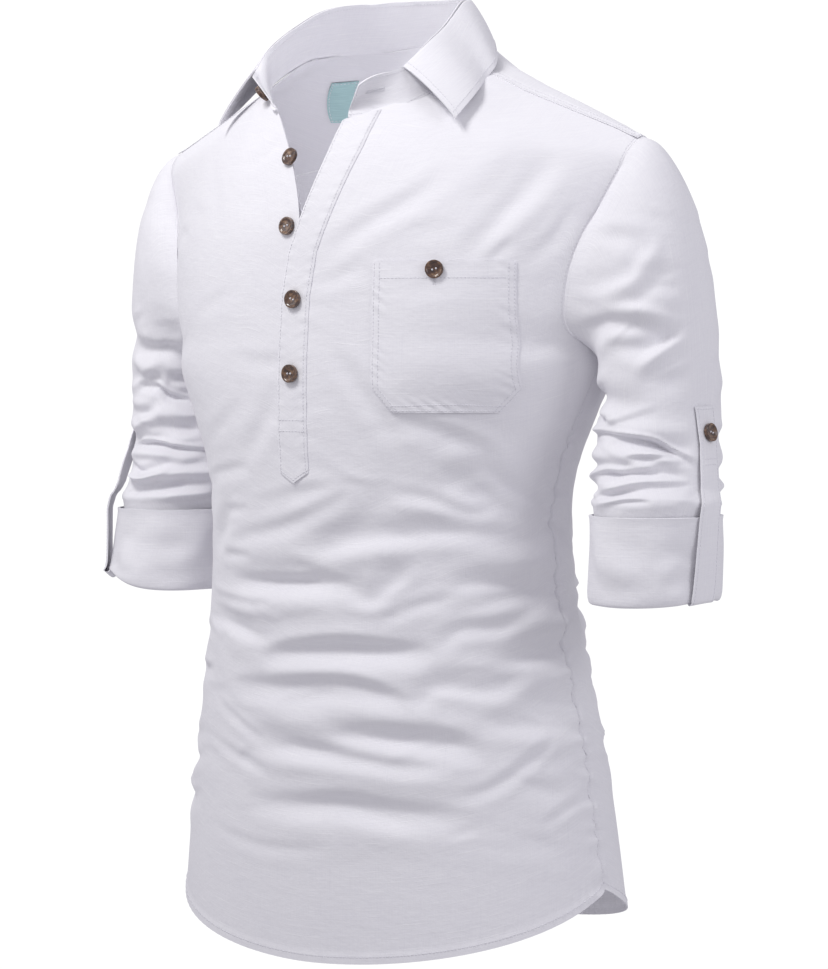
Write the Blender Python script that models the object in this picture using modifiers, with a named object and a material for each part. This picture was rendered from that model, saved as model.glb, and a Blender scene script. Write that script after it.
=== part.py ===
"""Kurta tunic: a popover shirt kurta with rolled sleeves, worn open at the neck, in metres.

The wearer faces -Y, +X is the wearer's left, and z = 0 is the level where the shirt rests
on the shoulders at the neck. Each cloth piece is an open grid, shaped by functions of two
numbers that run along and across the piece, and then thickened inwards.
"""
import math

import bmesh
import bpy
import numpy as np
from mathutils import Matrix, Vector

CLOTH = 0.0012              # wall of one layer of cloth
LAYERS = 0.0022             # wall of a cuff, which is several layers
SEAM = 0.0005               # half of the slit between two pieces that are sewn together
LAP = 0.0006                # clearance under a piece that lies on another

TIP_RISE_RIGHT = 0.010      # the right shoulder is carried this much higher
TIP_RISE_LEFT = 0.007       # and the tip of the left one this much
STRIP_WIDTH = 0.028         # placket strips
STRIP_FOOT = -0.335         # where the upper strip's pointed end begins
STRIP_POINT = 0.008         # how far the point reaches below that
SLIT_FOOT = -0.329
BUTTON_RADIUS = 0.0070
BUTTON_HEIGHT = 0.0028
POCKET_WIDTH = 0.097
POCKET_HEIGHT = 0.114
POCKET_PLACE = (0.0690, -0.1735)    # x of its inner side, z of its top
POCKET_CLIP = 0.018                 # the clipped lower corners
STRAP_WIDTH = 0.024

HEM_CURVE = 1.8             # how late the hem rises towards the side seam
HEM_CURVE_TOP = -0.60
HEM_CURVE_DEPTH = 0.10
BODY_CENTRE_Y = -0.008
BODY_RADIUS = (0.185, 0.130)

# One row for each level, hem first: the inner end is on the centre front, the outer end on
# the side seam. turn is the arc between them in degrees.
FRONT_BODY_ROWS = (
    # x_in, y_in, z_in, x_out, y_out, z_out, turn, straight
    (0.0, -0.1290, -0.7160, 0.1980, -0.0010, -0.6580, 90.0, 0.0),
    (0.0, -0.1285, -0.6500, 0.1910, -0.0020, -0.6150, 90.0, 0.0),
    (0.0, -0.1270, -0.5750, 0.1810, -0.0040, -0.5500, 90.0, 0.0),
    (0.0, -0.1260, -0.5000, 0.1690, -0.0080, -0.4820, 90.0, 0.0),
    (0.0, -0.1280, -0.4300, 0.1600, -0.0120, -0.4200, 90.0, 0.0),
    (0.0, -0.1330, -0.3700, 0.1570, -0.0130, -0.3650, 90.0, 0.0),
    (0.0, -0.1370, SLIT_FOOT, 0.1620, -0.0110, -0.3300, 90.0, 0.0),
)
# Above the slit each half has its own inner edge, up to the neckline and the yoke seam.
FRONT_LEFT_ROWS = (
    (0.0008, -0.1395, -0.2930, 0.1790, -0.0080, -0.2880, 90.0, 0.0),
    (0.0015, -0.1400, -0.2500, 0.1950, -0.0050, -0.2500, 90.0, 0.0),
    (0.0030, -0.1390, -0.2150, 0.1900, -0.0450, -0.2230, 66.0, 0.0),
    (0.0080, -0.1365, -0.1750, 0.1920, -0.0490, -0.1900, 60.0, 0.0),
    (0.0170, -0.1320, -0.1350, 0.1985, -0.0420, -0.1600, 55.0, 0.05),
    (0.0300, -0.1210, -0.0950, 0.2080, -0.0300, -0.1370, 50.0, 0.15),
    (0.0400, -0.1060, -0.0620, 0.2165, -0.0235, -0.1190, 45.0, 0.35),
    (0.0640, -0.0890, -0.0500, 0.2215, -0.0205, -0.1090, 40.0, 0.60),
    (0.0785, -0.0660, -0.0405, 0.2240, -0.0190, -0.1020, 35.0, 0.80),
    (0.0790, -0.0300, -0.0210, 0.2258, -0.0150, -0.0950, 30.0, 0.95),
    (0.0778, -0.0150, -0.0152, 0.2277, -0.0060, -0.0872, 27.0, 1.00),
)
FRONT_RIGHT_ROWS = (
    (0.0008, -0.1395, -0.2930, 0.1790, -0.0080, -0.2880, 90.0, 0.0),
    (0.0008, -0.1400, -0.2500, 0.1950, -0.0050, -0.2500, 90.0, 0.0),
    (0.0008, -0.1390, -0.2150, 0.1900, -0.0450, -0.2230, 66.0, 0.0),
    (0.0005, -0.1365, -0.1750, 0.1920, -0.0490, -0.1900, 60.0, 0.0),
    (0.0000, -0.1320, -0.1350, 0.1985, -0.0420, -0.1600, 55.0, 0.05),
    (0.0200, -0.1170, -0.0900, 0.2080, -0.0300, -0.1370, 50.0, 0.15),
    (0.0500, -0.0950, -0.0530, 0.2165, -0.0235, -0.1190, 45.0, 0.35),
    (0.0660, -0.0840, -0.0470, 0.2215, -0.0205, -0.1090, 40.0, 0.60),
    (0.0785, -0.0660, -0.0405, 0.2240, -0.0190, -0.1020, 35.0, 0.80),
    (0.0790, -0.0300, -0.0210, 0.2258, -0.0150, -0.0950, 30.0, 0.95),
    (0.0778, -0.0150, -0.0152, 0.2277, -0.0060, -0.0872, 27.0, 1.00),
)
BACK_ROWS = (
    (0.0, 0.1420, -0.7130, 0.1980, -0.0010, -0.6580, 90.0, 0.0),
    (0.0, 0.1350, -0.6500, 0.1910, -0.0020, -0.6150, 90.0, 0.0),
    (0.0, 0.1240, -0.5750, 0.1810, -0.0040, -0.5500, 90.0, 0.0),
    (0.0, 0.1110, -0.5000, 0.1690, -0.0080, -0.4820, 90.0, 0.0),
    (0.0, 0.1020, -0.4300, 0.1600, -0.0120, -0.4200, 90.0, 0.0),
    (0.0, 0.1010, -0.3700, 0.1570, -0.0130, -0.3650, 90.0, 0.0),
    (0.0, 0.1050, -0.3300, 0.1620, -0.0110, -0.3300, 90.0, 0.0),
    (0.0, 0.1110, -0.2880, 0.1790, -0.0080, -0.2880, 90.0, 0.0),
    (0.0, 0.1170, -0.2450, 0.1950, -0.0050, -0.2500, 90.0, 0.0),
    (0.0, 0.1200, -0.2050, 0.1930, 0.0380, -0.2180, 66.0, 0.0),
    (0.0, 0.1180, -0.1600, 0.1980, 0.0450, -0.1800, 60.0, 0.0),
    (0.0, 0.1120, -0.1150, 0.2070, 0.0420, -0.1480, 50.0, 0.2),
    (0.0, 0.1010, -0.0680, 0.2170, 0.0340, -0.1170, 40.0, 0.5),
)
# The yoke from the left front seam, over the shoulder, to the corner at the back of the
# armhole. From there its edge is the back's top row.
YOKE_COLUMNS = (
    # x_neck, y_neck, z_neck, x_arm, y_arm, z_arm, bulge
    (0.0778, -0.0150, -0.0152, 0.2277, -0.0060, -0.0872, 0.000),
    (0.0765, -0.0070, -0.0130, 0.2280, -0.0020, -0.0858, 0.001),
    (0.0745, 0.0000, -0.0110, 0.2280, 0.0020, -0.0850, 0.002),
    (0.0690, 0.0220, -0.0050, 0.2260, 0.0140, -0.0900, 0.004),
    (0.0620, 0.0400, 0.0000, 0.2170, 0.0340, -0.1170, 0.004),
    (0.0500, 0.0550, 0.0045, 0.1700, 0.0720, -0.1010, 0.004),
    (0.0280, 0.0680, 0.0085, 0.0900, 0.0960, -0.0800, 0.003),
    (0.0000, 0.0725, 0.0100, 0.0000, 0.1010, -0.0680, 0.003),
)
YOKE_TIP = 2                # the column on the shoulder line
YOKE_CORNER = 4             # the column at the back corner of the armhole
# Sleeve sections: the outer and the inner point of each, where its middle lies from front to
# back on the left and on the right arm, and how much of the section is the armhole itself.
SLEEVE_ROWS = (
    # x_out, z_out, x_in, z_in, y_left, y_right, half_front, armhole_share
    (0.2280, -0.0850, 0.1960, -0.2500, 0.0000, 0.0000, 0.0480, 1.00),
    (0.2485, -0.0940, 0.1998, -0.2514, 0.0010, 0.0020, 0.0520, 0.42),
    (0.2640, -0.1250, 0.2008, -0.2548, 0.0030, 0.0080, 0.0540, 0.10),
    (0.2755, -0.1720, 0.2005, -0.2605, 0.0040, 0.0150, 0.0545, 0.00),
    (0.2810, -0.2150, 0.1990, -0.2705, 0.0060, 0.0200, 0.0545, 0.00),
    (0.2840, -0.2550, 0.1980, -0.2870, 0.0070, 0.0220, 0.0540, 0.00),
    (0.2860, -0.2920, 0.1980, -0.3090, 0.0040, 0.0200, 0.0540, 0.00),
    (0.2900, -0.3250, 0.1990, -0.3330, -0.0030, 0.0150, 0.0545, 0.00),
    (0.2950, -0.3520, 0.2020, -0.3550, -0.0110, 0.0060, 0.0545, 0.00),
    (0.3010, -0.3640, 0.2050, -0.3640, -0.0160, 0.0020, 0.0540, 0.00),
    (0.2980, -0.3760, 0.2080, -0.3760, -0.0180, 0.0000, 0.0505, 0.00),
    (0.2978, -0.4270, 0.2082, -0.4270, -0.0190, -0.0065, 0.0503, 0.00),
)
CUFF_CENTRE_X = 0.2530
CUFF_MIDDLE = {1: (-0.0180, -0.0200), -1: (0.0000, -0.0080)}    # y at the cuff's top and foot
RIGHT_SLEEVE_NARROWER = 0.005
LEFT_ARM_UP = 0.009         # the left sleeve is rolled this much higher
RIGHT_ARM_IN = 0.020        # the right cuff is carried this much closer to the body
CUFF_TOP = -0.3740
CUFF_FOOT = -0.4410
CUFF_HALF = (0.0484, 0.0548)
CUFF_FLARE = 0.0010

# Collar: foot of the stand, its top edge and the free edge of the leaf, right end first.
COLLAR_STATIONS = (
    # foot x, y, z, top x, y, z, leaf edge x, y, z
    (-0.0570, -0.0930, -0.0490, -0.0810, -0.0815, -0.0290, -0.1170, -0.0870, -0.0700),
    (-0.0785, -0.0660, -0.0382, -0.0830, -0.0640, -0.0120, -0.1200, -0.0600, -0.0570),
    (-0.0795, -0.0300, -0.0200, -0.0785, -0.0390, 0.0060, -0.1130, -0.0240, -0.0290),
    (-0.0755, 0.0000, -0.0100, -0.0660, -0.0070, 0.0280, -0.0950, 0.0080, -0.0120),
    (-0.0500, 0.0555, 0.0055, -0.0460, 0.0360, 0.0400, -0.0560, 0.0640, 0.0040),
    (0.0000, 0.0735, 0.0110, 0.0000, 0.0520, 0.0415, 0.0000, 0.0840, 0.0010),
    (0.0500, 0.0555, 0.0055, 0.0420, 0.0340, 0.0385, 0.0500, 0.0620, 0.0050),
    (0.0755, 0.0000, -0.0100, 0.0600, 0.0000, 0.0310, 0.0900, 0.0000, -0.0105),
    (0.0795, -0.0300, -0.0200, 0.0685, -0.0350, 0.0100, 0.1050, -0.0240, -0.0220),
    (0.0785, -0.0660, -0.0385, 0.0710, -0.0640, -0.0065, 0.1120, -0.0540, -0.0430),
    (0.0650, -0.0885, -0.0488, 0.0640, -0.0850, -0.0250, 0.1150, -0.0860, -0.0640),
)
STAND_TAB = (0.0280, -0.1065, -0.0560, 0.0420, -0.1010, -0.0330)   # left end past the leaf
STAND_TAB_RIGHT = (-0.0490, -0.0985, -0.0510, -0.0750, -0.0940, -0.0345)
STAND_STATIONS = [STAND_TAB_RIGHT] + [row[:6] for row in COLLAR_STATIONS] + [STAND_TAB]

COLLAR_WALL = 0.0014
LEAF_RISE = 0.0024          # foot of the leaf above the stand's top edge
LEAF_OUT = 0.0008           # foot of the leaf outside the stand's top edge
LEAF_ROLL = 0.0040          # how far the fold stands out past the stand
LEAF_CROWN = 0.0030
LABEL_WALL = 0.0010
LABEL_CORNERS = (
    # column and share of the yoke: top near, top far, foot near, foot far
    (4.075, 0.27), (4.85, 0.31), (4.90, 0.63), (5.375, 0.68),
)
BUTTON_SIDES = 18
BUTTON_LIFT = 0.0005
# Half of the button's outline from the middle of its face to the middle of its back,
# as shares of its radius and its height.
BUTTON_PROFILE = ((0.0, 0.62), (0.66, 0.78), (0.84, 1.0), (0.98, 0.80), (1.0, 0.34),
                  (0.66, 0.0), (0.0, 0.0))
FRONT_BUTTONS = (
    # x, z, side of the front, lift off the front panel
    (-0.0190, -0.0910, -1, 0.0005), (-0.0100, -0.1450, -1, 0.0002),
    (0.0010, -0.2015, 1, 0.0023), (-0.0005, -0.2585, 1, 0.0023),
)
POCKET_BUTTON = (0.1150, -0.1795, 1, 0.0026)
STRAP_BUTTON_PLACE = 11.00   # row number on the strap's path
COLLAR_BUTTON_PLACE = 0.55
STRIP_HEAD = -0.0640
STRIP_HEAD_SLOPE = 0.0080   # the strips' top ends follow the neckline

PLACKET_EDGE = (
    # z, x of the upper strip's free edge, x of the right half's free edge
    (-0.3600, -0.0160, -0.0010), (-0.2640, -0.0150, -0.0010), (-0.2000, -0.0130, -0.0010),
    (-0.1650, -0.0080, -0.0005), (-0.1350, 0.0030, 0.0000), (-0.0900, 0.0185, -0.0200),
    (-0.0620, 0.0265, -0.0430), (-0.0540, 0.0285, -0.0500))

FOLDS = (
    # Troughs on the body: angle from the centre front, towards the wearer's left, and level
    # from_deg, from_z, to_deg, to_z, width, depth
    (-34.0, -0.423, 22.0, -0.417, 0.0110, 0.0050), (-52.0, -0.446, -6.0, -0.468, 0.0090, 0.0040),
    (-20.0, -0.483, 44.0, -0.468, 0.0120, 0.0055), (-30.0, -0.507, 34.0, -0.504, 0.0110, 0.0045),
    (4.0, -0.534, 56.0, -0.546, 0.0120, 0.0050), (-22.0, -0.543, 14.0, -0.551, 0.0090, 0.0040),
    (-20.0, -0.592, 52.0, -0.596, 0.0130, 0.0035), (0.0, -0.400, 30.0, -0.352, 0.0140, 0.0040),
    (42.0, -0.420, 96.0, -0.428, 0.0120, 0.0050), (36.0, -0.330, 70.0, -0.366, 0.0120, 0.0035),
    (-26.0, -0.358, -44.0, -0.404, 0.0100, 0.0035), (78.0, -0.370, 108.0, -0.380, 0.0110, 0.0050),
    (60.0, -0.470, 104.0, -0.478, 0.0120, 0.0050), (58.0, -0.515, 100.0, -0.505, 0.0110, 0.0045),
    (76.0, -0.082, 46.0, -0.147, 0.0140, 0.0035), (-60.0, -0.392, -104.0, -0.386, 0.0110, 0.0050),
    (-62.0, -0.470, -112.0, -0.462, 0.0120, 0.0050), (-58.0, -0.528, -100.0, -0.520, 0.0120, 0.0045),
    (128.0, -0.400, 196.0, -0.412, 0.0120, 0.0055), (170.0, -0.440, 236.0, -0.430, 0.0120, 0.0050),
    (118.0, -0.452, 176.0, -0.470, 0.0110, 0.0050), (186.0, -0.486, 244.0, -0.500, 0.0120, 0.0050),
    (134.0, -0.520, 208.0, -0.512, 0.0130, 0.0050), (150.0, -0.368, 214.0, -0.360, 0.0120, 0.0040),
    (132.0, -0.560, 172.0, -0.575, 0.0130, 0.0035), (196.0, -0.556, 236.0, -0.566, 0.0130, 0.0035),
)
SLEEVE_FOLDS = (
    # Angle from the outer side towards the front, and level, for either sleeve
    (-30.0, -0.318, 150.0, -0.312, 0.0070, 0.0045), (20.0, -0.336, 200.0, -0.334, 0.0060, 0.0045),
    (-60.0, -0.338, 30.0, -0.345, 0.0060, 0.0040), (40.0, -0.356, 260.0, -0.353, 0.0060, 0.0045),
    (-100.0, -0.356, 20.0, -0.362, 0.0055, 0.0040), (150.0, -0.318, 290.0, -0.322, 0.0070, 0.0045),
    (60.0, -0.282, 190.0, -0.276, 0.0090, 0.0045), (170.0, -0.300, 300.0, -0.296, 0.0080, 0.0040),
    (10.0, -0.215, 110.0, -0.250, 0.0110, 0.0040), (-120.0, -0.262, -20.0, -0.240, 0.0110, 0.0035),
)
RIDGE_SHARE = 0.35          # height of the ridges beside a trough
RIDGE_OFFSET = 1.8          # their distance from it, in trough widths
BODY_ARM = 0.165            # turns an angle on the body into a distance
SLEEVE_ARM = 0.055

SLIT_ROW = len(FRONT_BODY_ROWS) - 1
ARMPIT_ROW = 8               # row of the front and of the back that ends in the armpit
CUFFED_ROW = 10              # the sleeve rows from here down are inside the cuff
SLEEVE_FOLD_FOOT = -0.368    # the folds end where the cuff begins
STRAP_TURNS = {
    # level and angle round the arm, from the cuff's foot up
    1: ((-0.445, 13.0), (-0.400, 8.0), (-0.350, 2.0), (-0.315, 2.0), (-0.283, 9.0)),
    -1: ((-0.445, 41.0), (-0.400, 40.0), (-0.350, 27.0), (-0.290, 8.0)),
}
STRAP_PRESS = 24.0           # the sleeve is flat this many degrees each side of a strap
STRAP_PATHS = {
    # distance outside the arm, level: up the inside, round the cuff's foot and up outside
    1: ((-0.0047, -0.4300), (-0.0046, -0.4385), (-0.0034, -0.4436), (-0.0008, -0.4448),
        (0.0018, -0.4438), (0.0035, -0.4400), (0.0036, -0.4200), (0.0034, -0.3950),
        (0.0032, -0.3740), (0.0036, -0.3500), (0.0028, -0.3280), (0.0022, -0.3050),
        (0.0020, -0.2830)),
    -1: ((-0.0047, -0.4300), (-0.0046, -0.4385), (-0.0034, -0.4436), (-0.0008, -0.4448),
         (0.0018, -0.4438), (0.0038, -0.4400), (0.0062, -0.4230), (0.0090, -0.4000),
         (0.0110, -0.3740), (0.0120, -0.3500), (0.0085, -0.3260), (0.0056, -0.3060),
         (0.0042, -0.2900)),
}

WHITE = (0.90, 0.90, 0.93)
TEAL = (0.62, 0.80, 0.80)
HORN = (0.10, 0.045, 0.03)


def clear_scene():
    for item in list(bpy.data.objects):
        bpy.data.objects.remove(item, do_unlink=True)


def material(name, colour, roughness):
    made = bpy.data.materials.new(name)
    made.use_nodes = True
    shader = made.node_tree.nodes["Principled BSDF"]
    shader.inputs["Base Color"].default_value = (*colour, 1.0)
    shader.inputs["Roughness"].default_value = roughness
    shader.inputs["Metallic"].default_value = 0.0
    return made


def smooth_rows(rows, at):
    """Read a table's rows as smooth curves at the row numbers in at (Catmull-Rom)."""
    rows = np.asarray(rows, dtype=float)
    padded = np.vstack([2 * rows[0] - rows[1], rows, 2 * rows[-1] - rows[-2]])
    at = np.clip(np.asarray(at, dtype=float), 0, len(rows) - 1)
    low = np.minimum(at.astype(int), len(rows) - 2)
    t = (at - low)[:, None]
    a, b, c, d = (padded[low + k] for k in range(4))
    return 0.5 * (2 * b + (c - a) * t + (2 * a - 5 * b + 4 * c - d) * t ** 2
                  + (3 * b - a - 3 * c + d) * t ** 3)


def read_panel_rows(rows, places):
    """Smooth rows of a panel, with a side seam that runs straight into the armpit."""
    read = smooth_rows(rows, places)
    table = np.asarray(rows, dtype=float)
    below = np.asarray(places) <= ARMPIT_ROW
    numbers = np.arange(len(table))
    read[below, 4] = np.interp(places, numbers, table[:, 4])[below]
    last = below & (np.asarray(places) >= ARMPIT_ROW - 1)
    for column in (3, 5):
        read[last, column] = np.interp(places, numbers, table[:, column])[last]
    return read


def even_places(rows, first, last, count, columns=slice(0, 6)):
    """Row numbers from first to last, spaced evenly along the mean length of the rows."""
    dense = np.linspace(first, last, 200)
    read = smooth_rows(rows, dense)[:, columns]
    step = np.linalg.norm(np.diff(read, axis=0), axis=1)
    length = np.concatenate([[0.0], np.cumsum(step)])
    return np.interp(np.linspace(0, length[-1], count), length, dense)


def trough(angle, level, table, arm):
    """Depth of the folds at an angle (degrees) and level; troughs are negative."""
    depth = np.zeros_like(angle)
    for from_deg, from_z, to_deg, to_z, width, amount in table:
        run = np.array([math.radians(to_deg - from_deg) * arm, to_z - from_z])
        size = np.linalg.norm(run)
        along_way = run / size
        middle = 0.5 * (from_deg + to_deg)
        turned = (angle - middle + 180.0) % 360.0 - 180.0 + middle
        dx = np.radians(turned - from_deg) * arm
        dz = level - from_z
        along = (dx * along_way[0] + dz * along_way[1]) / size
        across = (dz * along_way[0] - dx * along_way[1]) / width
        fade = np.clip(1.0 - (2.0 * along - 1.0) ** 2, 0.0, 1.0) ** 1.5
        shape = -np.exp(-across ** 2)
        shape += RIDGE_SHARE * np.exp(-(across - RIDGE_OFFSET) ** 2)
        shape += RIDGE_SHARE * np.exp(-(across + RIDGE_OFFSET) ** 2)
        depth += amount * fade * shape
    return depth


def body_folds(points):
    """Move points of the body in and out by the folds, along the body's own normal."""
    dx = points[..., 0] / BODY_RADIUS[0] ** 2
    dy = (points[..., 1] - BODY_CENTRE_Y) / BODY_RADIUS[1] ** 2
    size = np.sqrt(dx ** 2 + dy ** 2)
    angle = np.degrees(np.arctan2(points[..., 0] / BODY_RADIUS[0],
                                  -(points[..., 1] - BODY_CENTRE_Y) / BODY_RADIUS[1]))
    depth = trough(angle, points[..., 2], FOLDS, BODY_ARM)
    moved = points.copy()
    moved[..., 0] += depth * dx / size
    moved[..., 1] += depth * dy / size
    return moved


def span(row, u):
    """Points across one row of a panel, from its inner end to its outer end."""
    turn = math.radians(row[6])
    straight = min(max(row[7], 0.0), 1.0)
    round_x = np.sin(turn * u) / math.sin(turn)
    round_y = (1.0 - np.cos(turn * u)) / (1.0 - math.cos(turn))
    share_x = (1.0 - straight) * round_x + straight * u
    share_y = (1.0 - straight) * round_y + straight * u
    hem = min(max((HEM_CURVE_TOP - row[2]) / HEM_CURVE_DEPTH, 0.0), 1.0)
    share_z = hem * np.abs(u) ** HEM_CURVE + (1.0 - hem) * share_x
    return np.stack([row[0] + (row[3] - row[0]) * share_x,
                     row[1] + (row[4] - row[1]) * share_y,
                     row[2] + (row[5] - row[2]) * share_z], axis=-1)


def panel(rows, places, u):
    return np.stack([span(row, u) for row in read_panel_rows(rows, places)])


def raise_shoulders(points):
    """Lift the shoulders: nothing at the armpit or the middle, all of it at the top."""
    lifted = points.copy()
    out = np.clip((-points[..., 0] - 0.05) / 0.03, 0.0, 1.0)
    up = np.clip((points[..., 2] + 0.24) / 0.15, 0.0, 1.0)
    lifted[..., 2] += TIP_RISE_RIGHT * out * up
    out = np.clip((points[..., 0] - 0.13) / 0.08, 0.0, 1.0)
    up = np.clip((points[..., 2] + 0.20) / 0.11, 0.0, 1.0)
    lifted[..., 2] += TIP_RISE_LEFT * out * up
    return lifted


def normals(points, outward):
    """Unit normals of a grid of points, turned to point the way outward says."""
    along = np.gradient(points, axis=0)
    across = np.gradient(points, axis=1)
    normal = np.cross(along, across)
    normal /= np.linalg.norm(normal, axis=2, keepdims=True) + 1e-12
    centre = (points.shape[0] // 2, points.shape[1] // 2)
    if np.dot(normal[centre], outward) < 0:
        normal = -normal
    return normal


def add_grid(bm, points):
    """A Blender grid whose vertices are moved to the given rows and columns of points."""
    rows, columns = points.shape[:2]
    made = bmesh.ops.create_grid(bm, x_segments=columns - 1, y_segments=rows - 1, size=1.0)
    for vertex in made["verts"]:
        column = round((vertex.co.x + 1.0) / 2.0 * (columns - 1))
        row = round((vertex.co.y + 1.0) / 2.0 * (rows - 1))
        vertex.co = points[row, column]


def cloth(name, grids, wall, finish, inside, collection):
    """A wall from grids of outer points. inside gives a point behind any point of the piece."""
    bm = bmesh.new()
    for points in grids:
        known = set(bm.faces)
        add_grid(bm, points)
        faces = [face for face in bm.faces if face not in known]
        vote = 0.0
        for face in faces:
            face.normal_update()
            middle = face.calc_center_median()
            vote += face.normal.dot(middle - Vector(inside(middle))) * face.calc_area()
        if vote < 0:
            bmesh.ops.reverse_faces(bm, faces=faces)
    bmesh.ops.remove_doubles(bm, verts=bm.verts, dist=0.00002)
    mesh = bpy.data.meshes.new(name)
    bm.to_mesh(mesh)
    bm.free()
    mesh.shade_smooth()
    mesh.materials.append(finish)
    item = bpy.data.objects.new(name, mesh)
    collection.objects.link(item)
    thick = item.modifiers.new("Wall", "SOLIDIFY")
    thick.thickness = wall
    thick.offset = -1.0
    thick.use_even_offset = True
    return item


def draw_in(points, sides):
    """Shorten a grid by half a seam's slit at the sides named first, last, bottom and top."""
    drawn = points.copy()
    ends = {"first": ((slice(None), 0), (slice(None), 1)),
            "last": ((slice(None), -1), (slice(None), -2)),
            "bottom": ((0, slice(None)), (1, slice(None))),
            "top": ((-1, slice(None)), (-2, slice(None)))}
    for side in sides:
        edge, inner = ends[side]
        way = points[inner] - points[edge]
        drawn[edge] += SEAM * way / np.linalg.norm(way, axis=1, keepdims=True)
    return drawn


def mirrored(points):
    return points * np.array([-1.0, 1.0, 1.0])


def body_axis(point):
    return (0.0, BODY_CENTRE_Y, min(point.z, -0.05) - 0.02)


def front_surface(side, places, u):
    """Points of one half of the front, with its folds, at row numbers places and shares u."""
    rows = FRONT_BODY_ROWS + (FRONT_LEFT_ROWS if side > 0 else FRONT_RIGHT_ROWS)
    read = read_panel_rows(rows, places)
    read[np.asarray(places) <= SLIT_ROW, 0] = 0.0
    points = np.stack([span(row, u) for row in read])
    points = raise_shoulders(points if side > 0 else mirrored(points))
    return body_folds(points)


def front_places(side, lower, upper):
    rows = FRONT_BODY_ROWS + (FRONT_LEFT_ROWS if side > 0 else FRONT_RIGHT_ROWS)
    below = even_places(rows, 0, SLIT_ROW, lower)
    above = even_places(rows, SLIT_ROW, len(rows) - 1, upper)
    return np.concatenate([below, above[1:]])


def make_front(finish, collection):
    u = np.linspace(0.0, 1.0, 11)
    halves = []
    for side in (1, -1):
        points = front_surface(side, front_places(side, 23, 14), u)
        halves.append(draw_in(points, ("last", "top")))
    return cloth("front_panel", halves, CLOTH, finish, body_axis, collection)


def make_back(finish, collection):
    places = even_places(BACK_ROWS, 0, len(BACK_ROWS) - 1, 31)
    half = panel(BACK_ROWS, places, np.linspace(0.0, 1.0, 10))
    left = draw_in(body_folds(raise_shoulders(half)), ("last", "top", "top"))
    right = draw_in(body_folds(raise_shoulders(mirrored(half))), ("last", "top", "top"))
    whole = np.concatenate([right[:, :0:-1], left], axis=1)
    return cloth("back_panel", [whole], CLOTH, finish, body_axis, collection)


def yoke_surface(side, places, shares):
    """Points of half the yoke: columns run round the neck, shares from the neck outwards."""
    columns = smooth_rows(YOKE_COLUMNS, places)
    shares = np.asarray(shares)[:, None, None]
    neck = columns[None, :, 0:3]
    arm = columns[None, :, 3:6].copy()
    last = len(YOKE_COLUMNS) - 1
    on_back = np.asarray(places) >= YOKE_CORNER
    share_across = (last - np.asarray(places)[on_back]) / (last - YOKE_CORNER)
    arm[0, on_back] = span(BACK_ROWS[-1], share_across)
    points = neck + (arm - neck) * shares
    rise = columns[None, :, 6] * np.sin(math.pi * shares[..., 0])
    points[..., 2] += rise
    points[..., 1] += rise * np.clip(points[..., 1] / 0.05, -1.0, 1.0)
    return raise_shoulders(points if side > 0 else mirrored(points))


def yoke_places(count):
    """Column numbers for the half yoke, with each column of the table kept."""
    last = len(YOKE_COLUMNS) - 1
    return np.linspace(0, last, last * count + 1)


def make_yoke(finish, collection):
    shares = np.linspace(0.0, 1.0, 7)
    left = yoke_surface(1, yoke_places(3), shares)
    right = yoke_surface(-1, yoke_places(3), shares)
    whole = np.concatenate([left, right[:, -2::-1]], axis=1)
    whole = draw_in(whole, ("first", "last", "bottom", "top"))
    return cloth("yoke", [whole], CLOTH, finish, yoke_inside, collection)


def yoke_inside(point):
    return (point.x * 0.5, 0.02, -0.20)


def armhole_ring(angles):
    """The armhole, read at angles in degrees from the shoulder tip round by the front.

    It is the edge of the yoke, then the edge of the front or the back down to the armpit.
    """
    ring = []
    for share, panel_rows, end in ((angles / 180.0, FRONT_BODY_ROWS + FRONT_LEFT_ROWS, 0),
                                   ((360.0 - angles) / 180.0, BACK_ROWS, YOKE_CORNER)):
        over = smooth_rows(YOKE_COLUMNS, np.linspace(YOKE_TIP, end, 24))[:, 3:6]
        down = np.linspace(len(panel_rows) - 1, ARMPIT_ROW, 60)
        edge = read_panel_rows(panel_rows, down)[:, 3:6]
        path = np.concatenate([over, edge[1:]])
        length = np.concatenate([[0.0], np.cumsum(np.linalg.norm(np.diff(path, axis=0), axis=1))])
        at = np.clip(share, 0.0, 1.0) * length[-1]
        ring.append(np.stack([np.interp(at, length, path[:, axis]) for axis in range(3)], axis=-1))
    return np.where((angles <= 180.0)[:, None], ring[0], ring[1])


def shift_arm(points, side):
    """Below the armpit the left arm is carried higher and the right one closer to the body."""
    low = np.clip((-0.27 - points[..., 2]) / 0.10, 0.0, 1.0)
    low = low * low * (3.0 - 2.0 * low)
    if side > 0:
        moved = raise_shoulders(points)
        moved[..., 2] += LEFT_ARM_UP * low
        return moved
    moved = raise_shoulders(mirrored(points))
    moved[..., 0] += RIGHT_ARM_IN * low
    return moved


def strap_angle(side, level):
    return np.interp(level, *zip(*STRAP_TURNS[side]))


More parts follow.
